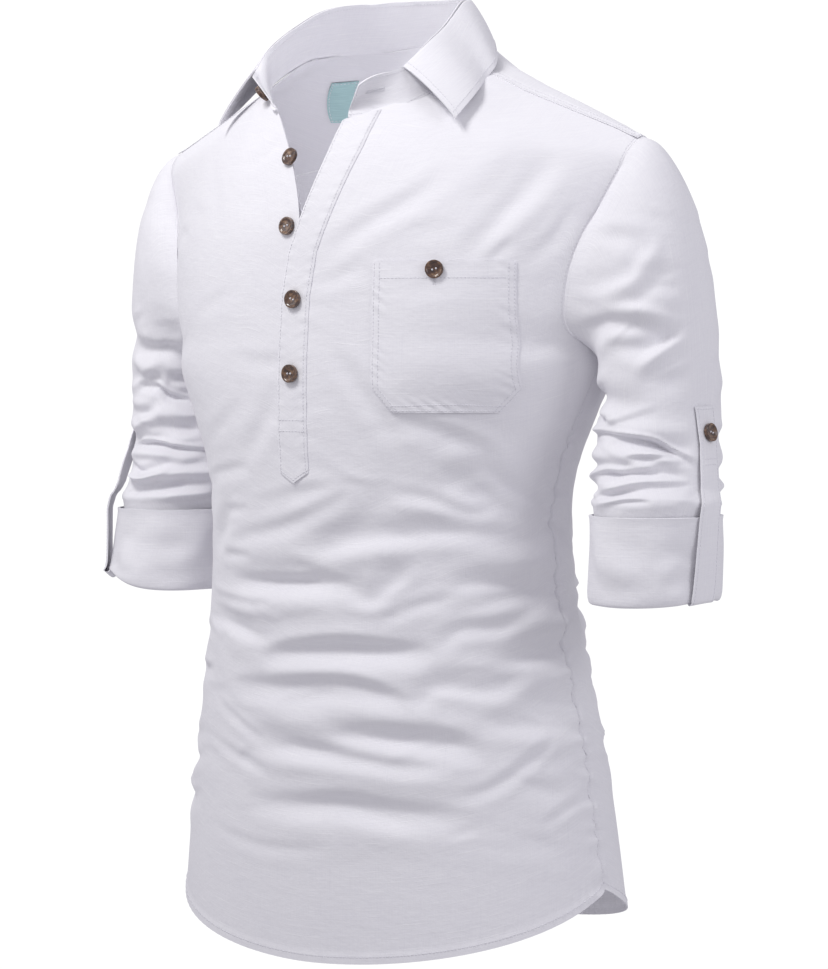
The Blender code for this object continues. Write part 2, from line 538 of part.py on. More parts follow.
def sleeve_surface(side, places, angles):
    rings = []
    hole = armhole_ring(angles % 360.0)
    turn = np.radians(angles)
    for x_out, z_out, x_in, z_in, y_left, y_right, front, share in smooth_rows(SLEEVE_ROWS, places):
        middle = np.array([(x_out + x_in) / 2.0, y_left, (z_out + z_in) / 2.0])
        if side < 0:
            middle[1] = y_right
            x_out -= RIGHT_SLEEVE_NARROWER * (1.0 - share)
        reach = np.array([(x_out - x_in) / 2.0, 0.0, (z_out - z_in) / 2.0])
        ring = middle + np.cos(turn)[:, None] * reach
        ring[:, 1] -= front * np.sin(turn)
        share = min(max(share, 0.0), 1.0)
        ring = share * hole + (1.0 - share) * ring
        depth = trough(angles, ring[:, 2], SLEEVE_FOLDS, SLEEVE_ARM)
        depth *= np.clip((ring[:, 2] - SLEEVE_FOLD_FOOT) / 0.008, 0.0, 1.0) * (1.0 - share)
        strap_gap = (angles - strap_angle(side, ring[:, 2]) + 180.0) % 360.0 - 180.0
        depth *= 1.0 - np.exp(-(strap_gap / STRAP_PRESS) ** 4)
        way = reach / np.linalg.norm(reach)
        ring += (depth * np.cos(turn))[:, None] * way
        ring[:, 1] -= depth * np.sin(turn)
        rings.append(ring)
    return shift_arm(np.stack(rings), side)


def arm_axis(side):
    def inside(point):
        place = np.interp(-point.z, [-(row[1] + row[3]) / 2.0 for row in SLEEVE_ROWS],
                          range(len(SLEEVE_ROWS)))
        row = smooth_rows(SLEEVE_ROWS, [place])[0]
        return ((row[0] + row[2]) / 2.0 * side, row[4], (row[1] + row[3]) / 2.0)
    return inside


def make_sleeve(side, name, finish, collection):
    places = np.concatenate([np.linspace(0, 5, 10), np.linspace(5, 9, 12)[1:], [9.5, 10, 11]])
    angles = np.linspace(0.0, 360.0, 23)
    points = draw_in(draw_in(sleeve_surface(side, places, angles), ("bottom",)), ("bottom",))
    return cloth(name, [points], CLOTH, finish, arm_axis(side), collection)


def round_arm(side, angles, out, level):
    """Points round the arm, this far outside it, at angles from its outer side to the front.

    Below the cuff's top edge the arm is the cuff, above it the outer side of the sleeve.
    """
    down = min(max((CUFF_TOP - level) / (CUFF_TOP - CUFF_FOOT), 0.0), 1.0)
    wide, deep = np.array(CUFF_HALF) + CUFF_FLARE * down
    middle_x = CUFF_CENTRE_X
    middle_y = CUFF_MIDDLE[side][0] + down * (CUFF_MIDDLE[side][1] - CUFF_MIDDLE[side][0])
    if level > CUFF_TOP:
        rows = np.array(SLEEVE_ROWS)[:CUFFED_ROW]
        x_out, x_in, y_left, y_right, front = (
            np.interp(-level, -rows[:, 1], rows[:, column]) for column in (0, 2, 4, 5, 6))
        share = min((level - CUFF_TOP) / 0.015, 1.0)
        x_out -= RIGHT_SLEEVE_NARROWER * (side < 0)
        wide += share * ((x_out - x_in) / 2.0 - wide)
        deep += share * (front - deep)
        middle_x += share * ((x_out + x_in) / 2.0 - middle_x)
        middle_y += share * ((y_left if side > 0 else y_right) - middle_y)
    turn = np.radians(angles)
    radius = 1.0 / np.hypot(np.cos(turn) / wide, np.sin(turn) / deep) + out
    points = np.stack([middle_x + radius * np.cos(turn), middle_y - radius * np.sin(turn),
                       level + 0.0 * turn], axis=-1)
    return shift_arm(points, side)


def make_cuff(side, name, finish, collection):
    angles = np.linspace(0.0, 360.0, 29)
    levels = np.linspace(CUFF_TOP, CUFF_FOOT, 4)
    rings = [round_arm(side, angles, 0.0, level) for level in levels]
    return cloth(name, [np.stack(rings)], LAYERS, finish, arm_axis(side), collection)


def strap_surface(side, places, across):
    rows = []
    for out, level in smooth_rows(STRAP_PATHS[side], places):
        angles = strap_angle(side, level) + np.degrees(across / CUFF_HALF[0])
        rows.append(round_arm(side, angles, out, level))
    return np.stack(rows)


def make_strap(side, name, finish, collection):
    last = len(STRAP_PATHS[side]) - 1
    across = np.linspace(-0.5, 0.5, 4) * STRAP_WIDTH
    points = strap_surface(side, np.linspace(0, last, 25), across)
    return cloth(name, [points], CLOTH, finish, arm_axis(side), collection)


def front_point(side, x, z, lift):
    """The point of the front above or below a place x, z, moved out along the normal."""
    rows = FRONT_BODY_ROWS + (FRONT_LEFT_ROWS if side > 0 else FRONT_RIGHT_ROWS)
    place = float(np.interp(z, [row[2] for row in rows], range(len(rows))))
    u = 0.1
    step = 0.01
    for _ in range(12):
        patch = front_surface(side, np.array([place, place + step]), np.array([u, u + step]))
        here = patch[0, 0]
        along = (patch[1, 0] - here) / step
        across = (patch[0, 1] - here) / step
        jacobian = np.array([[along[0], across[0]], [along[2], across[2]]])
        move = np.linalg.solve(jacobian, np.array([x - here[0], z - here[2]]))
        place = min(max(place + float(np.clip(move[0], -0.7, 0.7)), 0.0), len(rows) - 1.01)
        u += float(np.clip(move[1], -0.2, 0.2))
    normal = np.cross(along, across)
    normal /= np.linalg.norm(normal)
    if normal[1] > 0:
        normal = -normal
    return here + lift * normal


def on_front(side, xs, zs, lift):
    """A grid of points that lies on the front: one row for each level, x from left to right."""
    return np.stack([np.stack([front_point(side, x, z, lift) for x, z in zip(row_x, row_z)])
                     for row_x, row_z in zip(xs, zs)])


def placket_rows(levels, edge_column, shares, way):
    edges = np.interp(levels, [row[0] for row in PLACKET_EDGE],
                      [row[edge_column] for row in PLACKET_EDGE])
    return edges[:, None] + way * shares[None, :] * STRIP_WIDTH


def make_upper_strip(finish, collection):
    """The buttonhole strip, on top of the front, with a pointed end."""
    levels = np.linspace(STRIP_FOOT, STRIP_HEAD, 18)
    shares = np.linspace(0.0, 1.0, 5)
    xs = placket_rows(levels, 1, shares, 1.0)
    zs = np.repeat(levels[:, None], len(shares), axis=1)
    zs[0] -= STRIP_POINT * (1.0 - np.abs(2.0 * shares - 1.0))
    zs[-1] += STRIP_HEAD_SLOPE * shares
    points = on_front(1, xs, zs, LAP + CLOTH)
    return cloth("placket_over", [points], CLOTH, finish, body_axis, collection)


def make_under_strip(finish, collection):
    """The button strip, behind the right half of the front."""
    levels = np.linspace(STRIP_FOOT, STRIP_HEAD - 0.006, 16)
    shares = np.linspace(0.0, 0.85, 4)
    xs = placket_rows(levels, 2, shares, -1.0)
    zs = np.repeat(levels[:, None], len(shares), axis=1)
    zs[-1] += STRIP_HEAD_SLOPE * shares
    points = on_front(-1, xs, zs, -2.2 * LAP - CLOTH)
    return cloth("placket_under", [points], CLOTH, finish, body_axis, collection)


def make_pocket(finish, collection):
    x, top = POCKET_PLACE
    levels = np.concatenate([np.linspace(top, top - POCKET_HEIGHT + POCKET_CLIP, 9),
                             np.linspace(top - POCKET_HEIGHT + POCKET_CLIP, top - POCKET_HEIGHT, 4)[1:]])
    clip = np.clip((top - POCKET_HEIGHT + POCKET_CLIP - levels) / POCKET_CLIP, 0.0, 1.0)
    clip = clip * POCKET_CLIP * 0.8
    shares = np.linspace(0.0, 1.0, 9)
    xs = x + clip[:, None] + shares[None, :] * (POCKET_WIDTH - 2.0 * clip[:, None])
    zs = np.repeat(levels[:, None], len(shares), axis=1)
    points = on_front(1, xs, zs, 1.6 * LAP + CLOTH)
    return cloth("pocket", [points], CLOTH, finish, body_axis, collection)


def neck_axis(point):
    return (0.0, -0.010, point.z)


def stand_surface(places, shares):
    """The stand, from the right tab round the back to the left tab."""
    read = smooth_rows(STAND_STATIONS, places)
    foot = read[None, :, 0:3] + np.array([0.0, 0.0, 0.4 * SEAM])
    return raise_shoulders(foot + (read[None, :, 3:6] - foot) * np.asarray(shares)[:, None, None])


def make_stand(finish, collection):
    places = np.linspace(0, len(STAND_STATIONS) - 1, 29)
    points = stand_surface(places, np.linspace(0.0, 1.0, 4))
    return cloth("collar_stand", [points], COLLAR_WALL, finish, neck_axis, collection)


def leaf_surface(places, shares):
    """The leaf: it rises over the stand's top edge and falls outwards to its free edge."""
    read = smooth_rows(COLLAR_STATIONS, places)
    top = read[:, 3:6]
    edge = read[:, 6:9]
    away = edge - top
    away[:, 2] = 0.0
    away /= np.linalg.norm(away, axis=1, keepdims=True)
    start = top + np.array([0.0, 0.0, LEAF_RISE]) + away * LEAF_OUT
    rows = []
    for share in shares:
        bulge = LEAF_ROLL * math.sin(math.pi * min(share, 1.0)) ** 0.6
        rows.append(start + (edge - start) * share + away * bulge
                    + np.array([0.0, 0.0, LEAF_CROWN * math.sin(math.pi * share) ** 0.5]))
    return raise_shoulders(np.stack(rows))


def make_leaf(finish, collection):
    places = np.linspace(0, len(COLLAR_STATIONS) - 1, 27)
    shares = np.array([0.0, 0.05, 0.14, 0.32, 0.55, 0.78, 1.0])
    points = leaf_surface(places, shares)
    return cloth("collar_leaf", [points], COLLAR_WALL, finish, leaf_inside, collection)


def leaf_inside(point):
    return (point.x * 0.4, point.y * 0.4, -0.10)


def label_patch(across, down):
    """Points of the yoke under the label, between its four corners."""
    top_near, top_far, foot_near, foot_far = np.array(LABEL_CORNERS)
    rows = []
    for v in np.linspace(0.0, 1.0, down):
        near = top_near + (foot_near - top_near) * v
        far = top_far + (foot_far - top_far) * v
        row = [near + (far - near) * u for u in np.linspace(0.0, 1.0, across)]
        rows.append([yoke_surface(-1, [place], [share])[0, 0] for place, share in row])
    return np.array(rows)


def make_label(finish, collection):
    on_yoke = label_patch(4, 6)
    normal = normals(on_yoke, np.array([-0.5, 0.6, 0.6]))
    points = on_yoke - normal * (CLOTH + 2.6 * LAP)
    return cloth("label", [points], LABEL_WALL, finish, yoke_inside, collection)


def make_button(name, place, normal, finish, collection):
    """A turned disc with a raised rim and a dished face."""
    mesh = bpy.data.meshes.new(name)
    points = [(r * BUTTON_RADIUS, 0.0, h * BUTTON_HEIGHT) for r, h in BUTTON_PROFILE]
    mesh.from_pydata(points, [(low, low + 1) for low in range(len(points) - 1)], [])
    mesh.materials.append(finish)
    item = bpy.data.objects.new(name, mesh)
    collection.objects.link(item)
    turn = item.modifiers.new("turn", "SCREW")
    turn.axis = "Z"
    turn.steps = BUTTON_SIDES
    turn.render_steps = BUTTON_SIDES
    turn.use_merge_vertices = True
    turn.merge_threshold = 0.00005
    turn.use_smooth_shade = True
    face = Vector(normal).to_track_quat("Z", "Y").to_matrix().to_4x4()
    item.matrix_world = Matrix.Translation(Vector(place)) @ face
    return item


def seat(patch, outward):
    """Middle of a 3 by 3 patch of points and its unit normal on the outward side."""
    normal = np.cross(patch[1, 2] - patch[1, 0], patch[2, 1] - patch[0, 1])
    normal /= np.linalg.norm(normal)
    if np.dot(normal, np.array(outward)) < 0:
        normal = -normal
    return patch[1, 1], normal


def make_buttons(finish, collection):
    reach = np.array([-0.005, 0.0, 0.005])
    places = [("button_front_" + str(number), *row)
              for number, row in enumerate(FRONT_BUTTONS, start=1)]
    places.append(("button_pocket", *POCKET_BUTTON))
    for name, x, z, side, lift in places:
        patch = on_front(side, np.tile(x + reach, (3, 1)), np.tile((z + reach)[:, None], (1, 3)), 0.0)
        middle, normal = seat(patch, (0.0, -1.0, 0.0))
        make_button(name, middle + normal * lift, normal, finish, collection)
    for side, name in ((1, "button_strap_left"), (-1, "button_strap_right")):
        places = STRAP_BUTTON_PLACE + np.array([-0.2, 0.0, 0.2])
        middle, normal = seat(strap_surface(side, places, reach), (side, 0.0, 0.0))
        make_button(name, middle + normal * BUTTON_LIFT, normal, finish, collection)
    patch = stand_surface(COLLAR_BUTTON_PLACE + np.array([-0.3, 0.0, 0.3]), (0.3, 0.5, 0.7))
    middle, normal = seat(patch, (-0.8, -0.6, 0.0))
    make_button("button_collar", middle + normal * (BUTTON_LIFT + 0.0006), normal, finish, collection)


def main():
    clear_scene()
    collection = bpy.data.collections.new("kurta_tunic")
    bpy.context.scene.collection.children.link(collection)
    white = material("slub cotton linen", WHITE, 0.85)
    label_finish = material("woven label", TEAL, 0.7)
    horn = material("horn button", HORN, 0.3)
    make_front(white, collection)
    make_back(white, collection)
    make_yoke(white, collection)
    for side, name in ((1, "left"), (-1, "right")):
        make_sleeve(side, "sleeve_" + name, white, collection)
        make_cuff(side, "cuff_" + name, white, collection)
        make_strap(side, "strap_" + name, white, collection)
    make_upper_strip(white, collection)
    make_under_strip(white, collection)
    make_pocket(white, collection)
    make_stand(white, collection)
    make_leaf(white, collection)
    make_label(label_finish, collection)
    make_buttons(horn, collection)


main()
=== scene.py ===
"""A white slub cotton-linen kurta tunic: cloth, stitches, buttons, light and camera."""
import math

import bmesh
import bpy
import numpy as np
from mathutils import Matrix, Vector


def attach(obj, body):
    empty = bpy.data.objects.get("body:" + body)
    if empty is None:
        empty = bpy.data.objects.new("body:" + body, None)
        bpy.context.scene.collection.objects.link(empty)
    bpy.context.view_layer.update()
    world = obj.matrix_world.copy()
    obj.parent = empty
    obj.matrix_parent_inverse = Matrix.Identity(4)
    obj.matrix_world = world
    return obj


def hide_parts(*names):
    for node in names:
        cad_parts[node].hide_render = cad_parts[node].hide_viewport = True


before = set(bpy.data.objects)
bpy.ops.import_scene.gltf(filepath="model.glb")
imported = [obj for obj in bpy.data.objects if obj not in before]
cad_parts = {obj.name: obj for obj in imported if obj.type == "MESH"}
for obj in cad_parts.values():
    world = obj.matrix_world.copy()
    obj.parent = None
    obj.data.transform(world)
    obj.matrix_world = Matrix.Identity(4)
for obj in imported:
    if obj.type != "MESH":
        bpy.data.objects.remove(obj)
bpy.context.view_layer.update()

# ---------------------------------------------------------------- sizes, in metres
CLOTH = 0.0009              # wall of one layer of cloth
LAYERS = 0.0020             # wall of the rolled cuff
COLLAR_WALL = 0.0013
SEAM = 0.00012              # half of the slit between two pieces that are sewn together
PRESSED = 0.0009            # how far a stitched edge is pressed down
LAP = 0.0006                # clearance under a piece that lies on another
STRIP_WIDTH = 0.028         # the placket's strips, their levels and the point at the foot
STRIP_FOOT = -0.335
STRIP_POINT = 0.008
SLIT_FOOT = -0.329          # level where the front's slit ends
STRIP_HEAD = -0.0640
STRIP_HEAD_SLOPE = 0.0080   # the strips' heads rise by this across their width
BUTTON_RADIUS = 0.0070
BUTTON_HEIGHT = 0.0028
BUTTON_LIFT = 0.0004
COLLAR_BUTTON_LIFT = BUTTON_LIFT + 0.0006
BUTTON_SPIN = 0.35          # how far a button may be turned, in radians
POCKET_WIDTH = 0.097
POCKET_HEIGHT = 0.114
POCKET_PLACE = (0.0690, -0.1735)    # x and level of its upper corner next to the placket
POCKET_CLIP = 0.018         # height of its clipped lower corners
STRAP_WIDTH = 0.024
STITCH_PITCH = 0.0029
THREAD = 0.00028            # radius of the sewing thread
STITCH_LIFT = 0.00012       # how far a stitch's middle stands out of the cloth
STITCH_AIM = 0.0006         # a stitch points from this far behind its middle to this far ahead
STITCH_SHARE = 0.78         # length of a stitch against the pitch
STITCH_PROFILE = ((-0.5, 0.25), (-0.36, 0.9), (0.0, 1.1), (0.36, 0.9), (0.5, 0.25))
STITCH_SIDES = 5
STITCH_FLAT = 0.7           # height of a stitch against its width
HEM_WIDTH = 0.0065

# How far inside an edge each row of stitches runs.
EDGE_STITCH = 0.0022        # straps, the stand's tab, side seams and armholes
STRIP_STITCH = 0.0024
YOKE_STITCHES = {"first": (0.0018, 0.0060), "last": (0.0018, 0.0060), "top": (0.0018, 0.0058)}
POCKET_STITCHES = (0.0016, 0.0062)
POCKET_HEM_STITCH = 0.0125
STAND_STITCH = 0.0028
LEAF_STITCH = 0.0050
LABEL_STITCH = 0.0016
BOX_STITCHES = (-0.2945, -0.3030)   # levels of the two rows across the end of the placket

HEM_CURVE = 1.8             # how late the hem rises towards the side seam
HEM_CURVE_TOP = -0.60
HEM_CURVE_DEPTH = 0.10
BODY_CENTRE_Y = -0.008
BODY_RADIUS = (0.185, 0.130)        # round form that gives angles and the ways of folds

# The outer ends of the rows of the front and the back, hem first: the side seam up to the
# armpit, then the front or the back edge of the armhole.
SIDE_SEAM = (
    # x, y, z
    (0.1980, -0.0010, -0.6580), (0.1910, -0.0020, -0.6150), (0.1810, -0.0040, -0.5500),
    (0.1690, -0.0080, -0.4820), (0.1600, -0.0120, -0.4200), (0.1570, -0.0130, -0.3650),
    (0.1620, -0.0110, -0.3300), (0.1790, -0.0080, -0.2880), (0.1950, -0.0050, -0.2500),
)
SIDE_ARC = (90.0, 0.0)      # turn of the arc across a row in degrees, and how straight it is
ARMHOLE_FRONT = (
    # x, y, z, turn, straight
    (0.1900, -0.0450, -0.2230, 66.0, 0.0), (0.1920, -0.0490, -0.1900, 60.0, 0.0),
    (0.1985, -0.0420, -0.1600, 55.0, 0.05), (0.2080, -0.0300, -0.1370, 50.0, 0.15),
    (0.2165, -0.0235, -0.1190, 45.0, 0.35), (0.2215, -0.0205, -0.1090, 40.0, 0.60),
    (0.2240, -0.0190, -0.1020, 35.0, 0.80), (0.2258, -0.0150, -0.0950, 30.0, 0.95),
    (0.2277, -0.0060, -0.0872, 27.0, 1.00),
)
ARMHOLE_BACK = (
    (0.1930, 0.0380, -0.2180, 66.0, 0.0), (0.1980, 0.0450, -0.1800, 60.0, 0.0),
    (0.2070, 0.0420, -0.1480, 50.0, 0.2), (0.2170, 0.0340, -0.1170, 40.0, 0.5),
)
# The inner ends: the centre line up to the slit, each half's own edge up to the neckline and
# the yoke seam, and the middle of the back.
FRONT_MIDDLE = (
    (0.0, -0.1290, -0.7160), (0.0, -0.1285, -0.6500), (0.0, -0.1270, -0.5750),
    (0.0, -0.1260, -0.5000), (0.0, -0.1280, -0.4300), (0.0, -0.1330, -0.3700),
    (0.0, -0.1370, SLIT_FOOT),
)
FRONT_LEFT_EDGE = (
    (0.0008, -0.1395, -0.2930), (0.0015, -0.1400, -0.2500), (0.0030, -0.1390, -0.2150),
    (0.0080, -0.1365, -0.1750), (0.0170, -0.1320, -0.1350), (0.0300, -0.1210, -0.0950),
    (0.0400, -0.1060, -0.0620), (0.0640, -0.0890, -0.0500), (0.0785, -0.0660, -0.0405),
    (0.0790, -0.0300, -0.0210), (0.0778, -0.0150, -0.0152),
)
FRONT_RIGHT_EDGE = (
    (0.0008, -0.1395, -0.2930), (0.0008, -0.1400, -0.2500), (0.0008, -0.1390, -0.2150),
    (0.0005, -0.1365, -0.1750), (0.0000, -0.1320, -0.1350), (0.0200, -0.1170, -0.0900),
    (0.0500, -0.0950, -0.0530), (0.0660, -0.0840, -0.0470), (0.0785, -0.0660, -0.0405),
    (0.0790, -0.0300, -0.0210), (0.0778, -0.0150, -0.0152),
)
BACK_MIDDLE = (
    (0.0, 0.1420, -0.7130), (0.0, 0.1350, -0.6500), (0.0, 0.1240, -0.5750),
    (0.0, 0.1110, -0.5000), (0.0, 0.1020, -0.4300), (0.0, 0.1010, -0.3700),
    (0.0, 0.1050, -0.3300), (0.0, 0.1110, -0.2880), (0.0, 0.1170, -0.2450),
    (0.0, 0.1200, -0.2050), (0.0, 0.1180, -0.1600), (0.0, 0.1120, -0.1150),
    (0.0, 0.1010, -0.0680),
)
SLIT_ROW = len(FRONT_MIDDLE) - 1
ARMPIT_ROW = len(SIDE_SEAM) - 1


def panel_table(inner, armhole):
    """Rows of a panel: x, y, z of the inner end, x, y, z of the outer end, turn, straight."""
    outer = [(*place, *SIDE_ARC) for place in SIDE_SEAM] + list(armhole)
    return tuple((*start, *end) for start, end in zip(inner, outer))


FRONT_ROWS = {1: panel_table(FRONT_MIDDLE + FRONT_LEFT_EDGE, ARMHOLE_FRONT),
              -1: panel_table(FRONT_MIDDLE + FRONT_RIGHT_EDGE, ARMHOLE_FRONT)}
BACK_ROWS = panel_table(BACK_MIDDLE, ARMHOLE_BACK)
# The yoke from the left front seam, over the shoulder, to the corner at the back of the
# armhole. From there its edge is the back's top row.
YOKE_COLUMNS = (
    # x_neck, y_neck, z_neck, x_arm, y_arm, z_arm, bulge
    (0.0778, -0.0150, -0.0152, 0.2277, -0.0060, -0.0872, 0.000),
    (0.0765, -0.0070, -0.0130, 0.2280, -0.0020, -0.0858, 0.001),
    (0.0745, 0.0000, -0.0110, 0.2280, 0.0020, -0.0850, 0.002),
    (0.0690, 0.0220, -0.0050, 0.2260, 0.0140, -0.0900, 0.004),
    (0.0620, 0.0400, 0.0000, 0.2170, 0.0340, -0.1170, 0.004),
    (0.0500, 0.0550, 0.0045, 0.1700, 0.0720, -0.1010, 0.004),
    (0.0280, 0.0680, 0.0085, 0.0900, 0.0960, -0.0800, 0.003),
    (0.0000, 0.0725, 0.0100, 0.0000, 0.1010, -0.0680, 0.003),
)
YOKE_TIP = 2                # the column on the shoulder line
YOKE_CORNER = 4             # the column at the back corner of the armhole
# Sleeve sections: the outer and the inner point of each, where its middle lies from front to
# back on the left and on the right arm, and how much of the section is the armhole itself.
SLEEVE_ROWS = (
    # x_out, z_out, x_in, z_in, y_left, y_right, half_front, armhole_share
    (0.2280, -0.0850, 0.1960, -0.2500, 0.0000, 0.0000, 0.0480, 1.00),
    (0.2485, -0.0940, 0.1998, -0.2514, 0.0010, 0.0020, 0.0520, 0.42),
    (0.2640, -0.1250, 0.2008, -0.2548, 0.0030, 0.0080, 0.0540, 0.10),
    (0.2755, -0.1720, 0.2005, -0.2605, 0.0040, 0.0150, 0.0545, 0.00),
    (0.2810, -0.2150, 0.1990, -0.2705, 0.0060, 0.0200, 0.0545, 0.00),
    (0.2840, -0.2550, 0.1980, -0.2870, 0.0070, 0.0220, 0.0540, 0.00),
    (0.2860, -0.2920, 0.1980, -0.3090, 0.0040, 0.0200, 0.0540, 0.00),
    (0.2900, -0.3250, 0.1990, -0.3330, -0.0030, 0.0150, 0.0545, 0.00),
    (0.2950, -0.3520, 0.2020, -0.3550, -0.0110, 0.0060, 0.0545, 0.00),
    (0.3010, -0.3640, 0.2050, -0.3640, -0.0160, 0.0020, 0.0540, 0.00),
    (0.2980, -0.3760, 0.2080, -0.3760, -0.0180, 0.0000, 0.0505, 0.00),
    (0.2978, -0.4270, 0.2082, -0.4270, -0.0190, -0.0065, 0.0503, 0.00),
)
CUFF_CENTRE_X = 0.2530
CUFF_MIDDLE = {1: (-0.0180, -0.0200), -1: (0.0000, -0.0080)}    # y at the cuff's top and foot
RIGHT_SLEEVE_NARROWER = 0.005
LEFT_ARM_UP = 0.009         # the left sleeve is rolled this much higher
RIGHT_ARM_IN = 0.020        # the right cuff is carried this much closer to the body
ARM_SHIFT_TOP = -0.27       # both begin at this level and are full this far below it
ARM_SHIFT_DEPTH = 0.10
CUFF_TOP = -0.3740
CUFF_FOOT = -0.4410
CUFF_HALF = (0.0484, 0.0548)        # half its width from side to side and front to back
CUFF_FLARE = 0.0010         # how much wider its foot is
CUFF_CORNERS = {
    # where the foot of a turned cuff rises: angle, spread (degrees), rise, flare
    1: (0.0, 42.0, 0.0045, 0.0), -1: (52.0, 34.0, 0.0150, 0.0050),
}

# Collar: foot of the stand, its top edge and the free edge of the leaf, right end first.
COLLAR_STATIONS = (
    # foot x, y, z, top x, y, z, leaf edge x, y, z
    (-0.0570, -0.0930, -0.0490, -0.0810, -0.0815, -0.0290, -0.1170, -0.0870, -0.0700),
    (-0.0785, -0.0660, -0.0382, -0.0830, -0.0640, -0.0120, -0.1200, -0.0600, -0.0570),
    (-0.0795, -0.0300, -0.0200, -0.0785, -0.0390, 0.0060, -0.1130, -0.0240, -0.0290),
    (-0.0755, 0.0000, -0.0100, -0.0660, -0.0070, 0.0280, -0.0950, 0.0080, -0.0120),
    (-0.0500, 0.0555, 0.0055, -0.0460, 0.0360, 0.0400, -0.0560, 0.0640, 0.0040),
    (0.0000, 0.0735, 0.0110, 0.0000, 0.0520, 0.0415, 0.0000, 0.0840, 0.0010),
    (0.0500, 0.0555, 0.0055, 0.0420, 0.0340, 0.0385, 0.0480, 0.0590, 0.0072),
    (0.0755, 0.0000, -0.0100, 0.0600, 0.0000, 0.0310, 0.0945, 0.0000, -0.0145),
    (0.0795, -0.0300, -0.0200, 0.0685, -0.0350, 0.0100, 0.1000, -0.0240, -0.0300),
    (0.0785, -0.0660, -0.0385, 0.0710, -0.0640, -0.0065, 0.1120, -0.0540, -0.0430),
    (0.0650, -0.0885, -0.0488, 0.0640, -0.0850, -0.0250, 0.1150, -0.0860, -0.0640),
)
STAND_TAB = (0.0272, -0.1045, -0.0560, 0.0455, -0.1130, -0.0335)   # left end past the leaf
STAND_TAB_RIGHT = (-0.0490, -0.0985, -0.0510, -0.0750, -0.0940, -0.0345)
STAND_STATIONS = [STAND_TAB_RIGHT] + [row[:6] for row in COLLAR_STATIONS] + [STAND_TAB]
TAB_TURN = 11.35            # the left tab's top edge is rounded off from this station on
TAB_ROUND = 0.24            # share of its height that is lost at the end
TAB_HOLE = (11.40, 11.76)   # stations of the buttonhole on the tab
TAB_HOLE_SHARES = (0.50, 0.57)
STAND_LAP = 0.08            # share of the stand's height that laps over the neck seam
STAND_OUT = 0.0016          # how far the lapping foot stands out
# How far that foot drops below the seam, by station.
STAND_DROP = ((0.0, 0.0015), (9.0, 0.0015), (10.5, 0.0035), (11.4, 0.0085), (12.0, 0.0050))
UP = np.array([0.0, 0.0, 1.0])

LEAF_RISE = 0.0024          # foot of the leaf above the stand's top edge
LEAF_OUT = 0.0008           # foot of the leaf outside the stand's top edge
LEAF_ROLL = 0.0018          # how far the fold stands out past the stand
LEAF_CROWN = 0.0020         # and how far it rises over its foot
LABEL_WALL = 0.0005
LABEL_CORNERS = (
    # column and share of the yoke: top near, top far, foot near, foot far
    (4.075, 0.27), (4.85, 0.31), (4.90, 0.63), (5.375, 0.68),
)
SHOULDER_RISES = (
    # side, how much higher it is carried, where that starts from the middle out and over
    # what width it grows, its lowest level and over what height it grows
    (-1.0, 0.010, 0.05, 0.03, -0.24, 0.15), (1.0, 0.007, 0.13, 0.08, -0.20, 0.11),
)
FRONT_BUTTONS = (
    # x, z, side of the front, lift off the front panel
    (-0.0190, -0.0910, -1, 0.0005), (-0.0100, -0.1450, -1, 0.0002),
    (0.0010, -0.2015, 1, 0.0023), (-0.0005, -0.2585, 1, 0.0023),
)
POCKET_BUTTON = (0.1150, -0.1795, 1, 0.0026)
STRAP_BUTTON_PLACE = 11.00   # row number on the strap's path
COLLAR_BUTTON_PLACE = 0.55   # station on the stand's right tab

PLACKET_EDGE = (
    # z, x of the upper strip's free edge, x of the right half's free edge
    (-0.3600, -0.0160, -0.0010), (-0.2640, -0.0150, -0.0010), (-0.2000, -0.0130, -0.0010),
    (-0.1650, -0.0080, -0.0005), (-0.1350, 0.0030, 0.0000), (-0.0900, 0.0185, -0.0200),
    (-0.0620, 0.0265, -0.0430), (-0.0540, 0.0285, -0.0500))

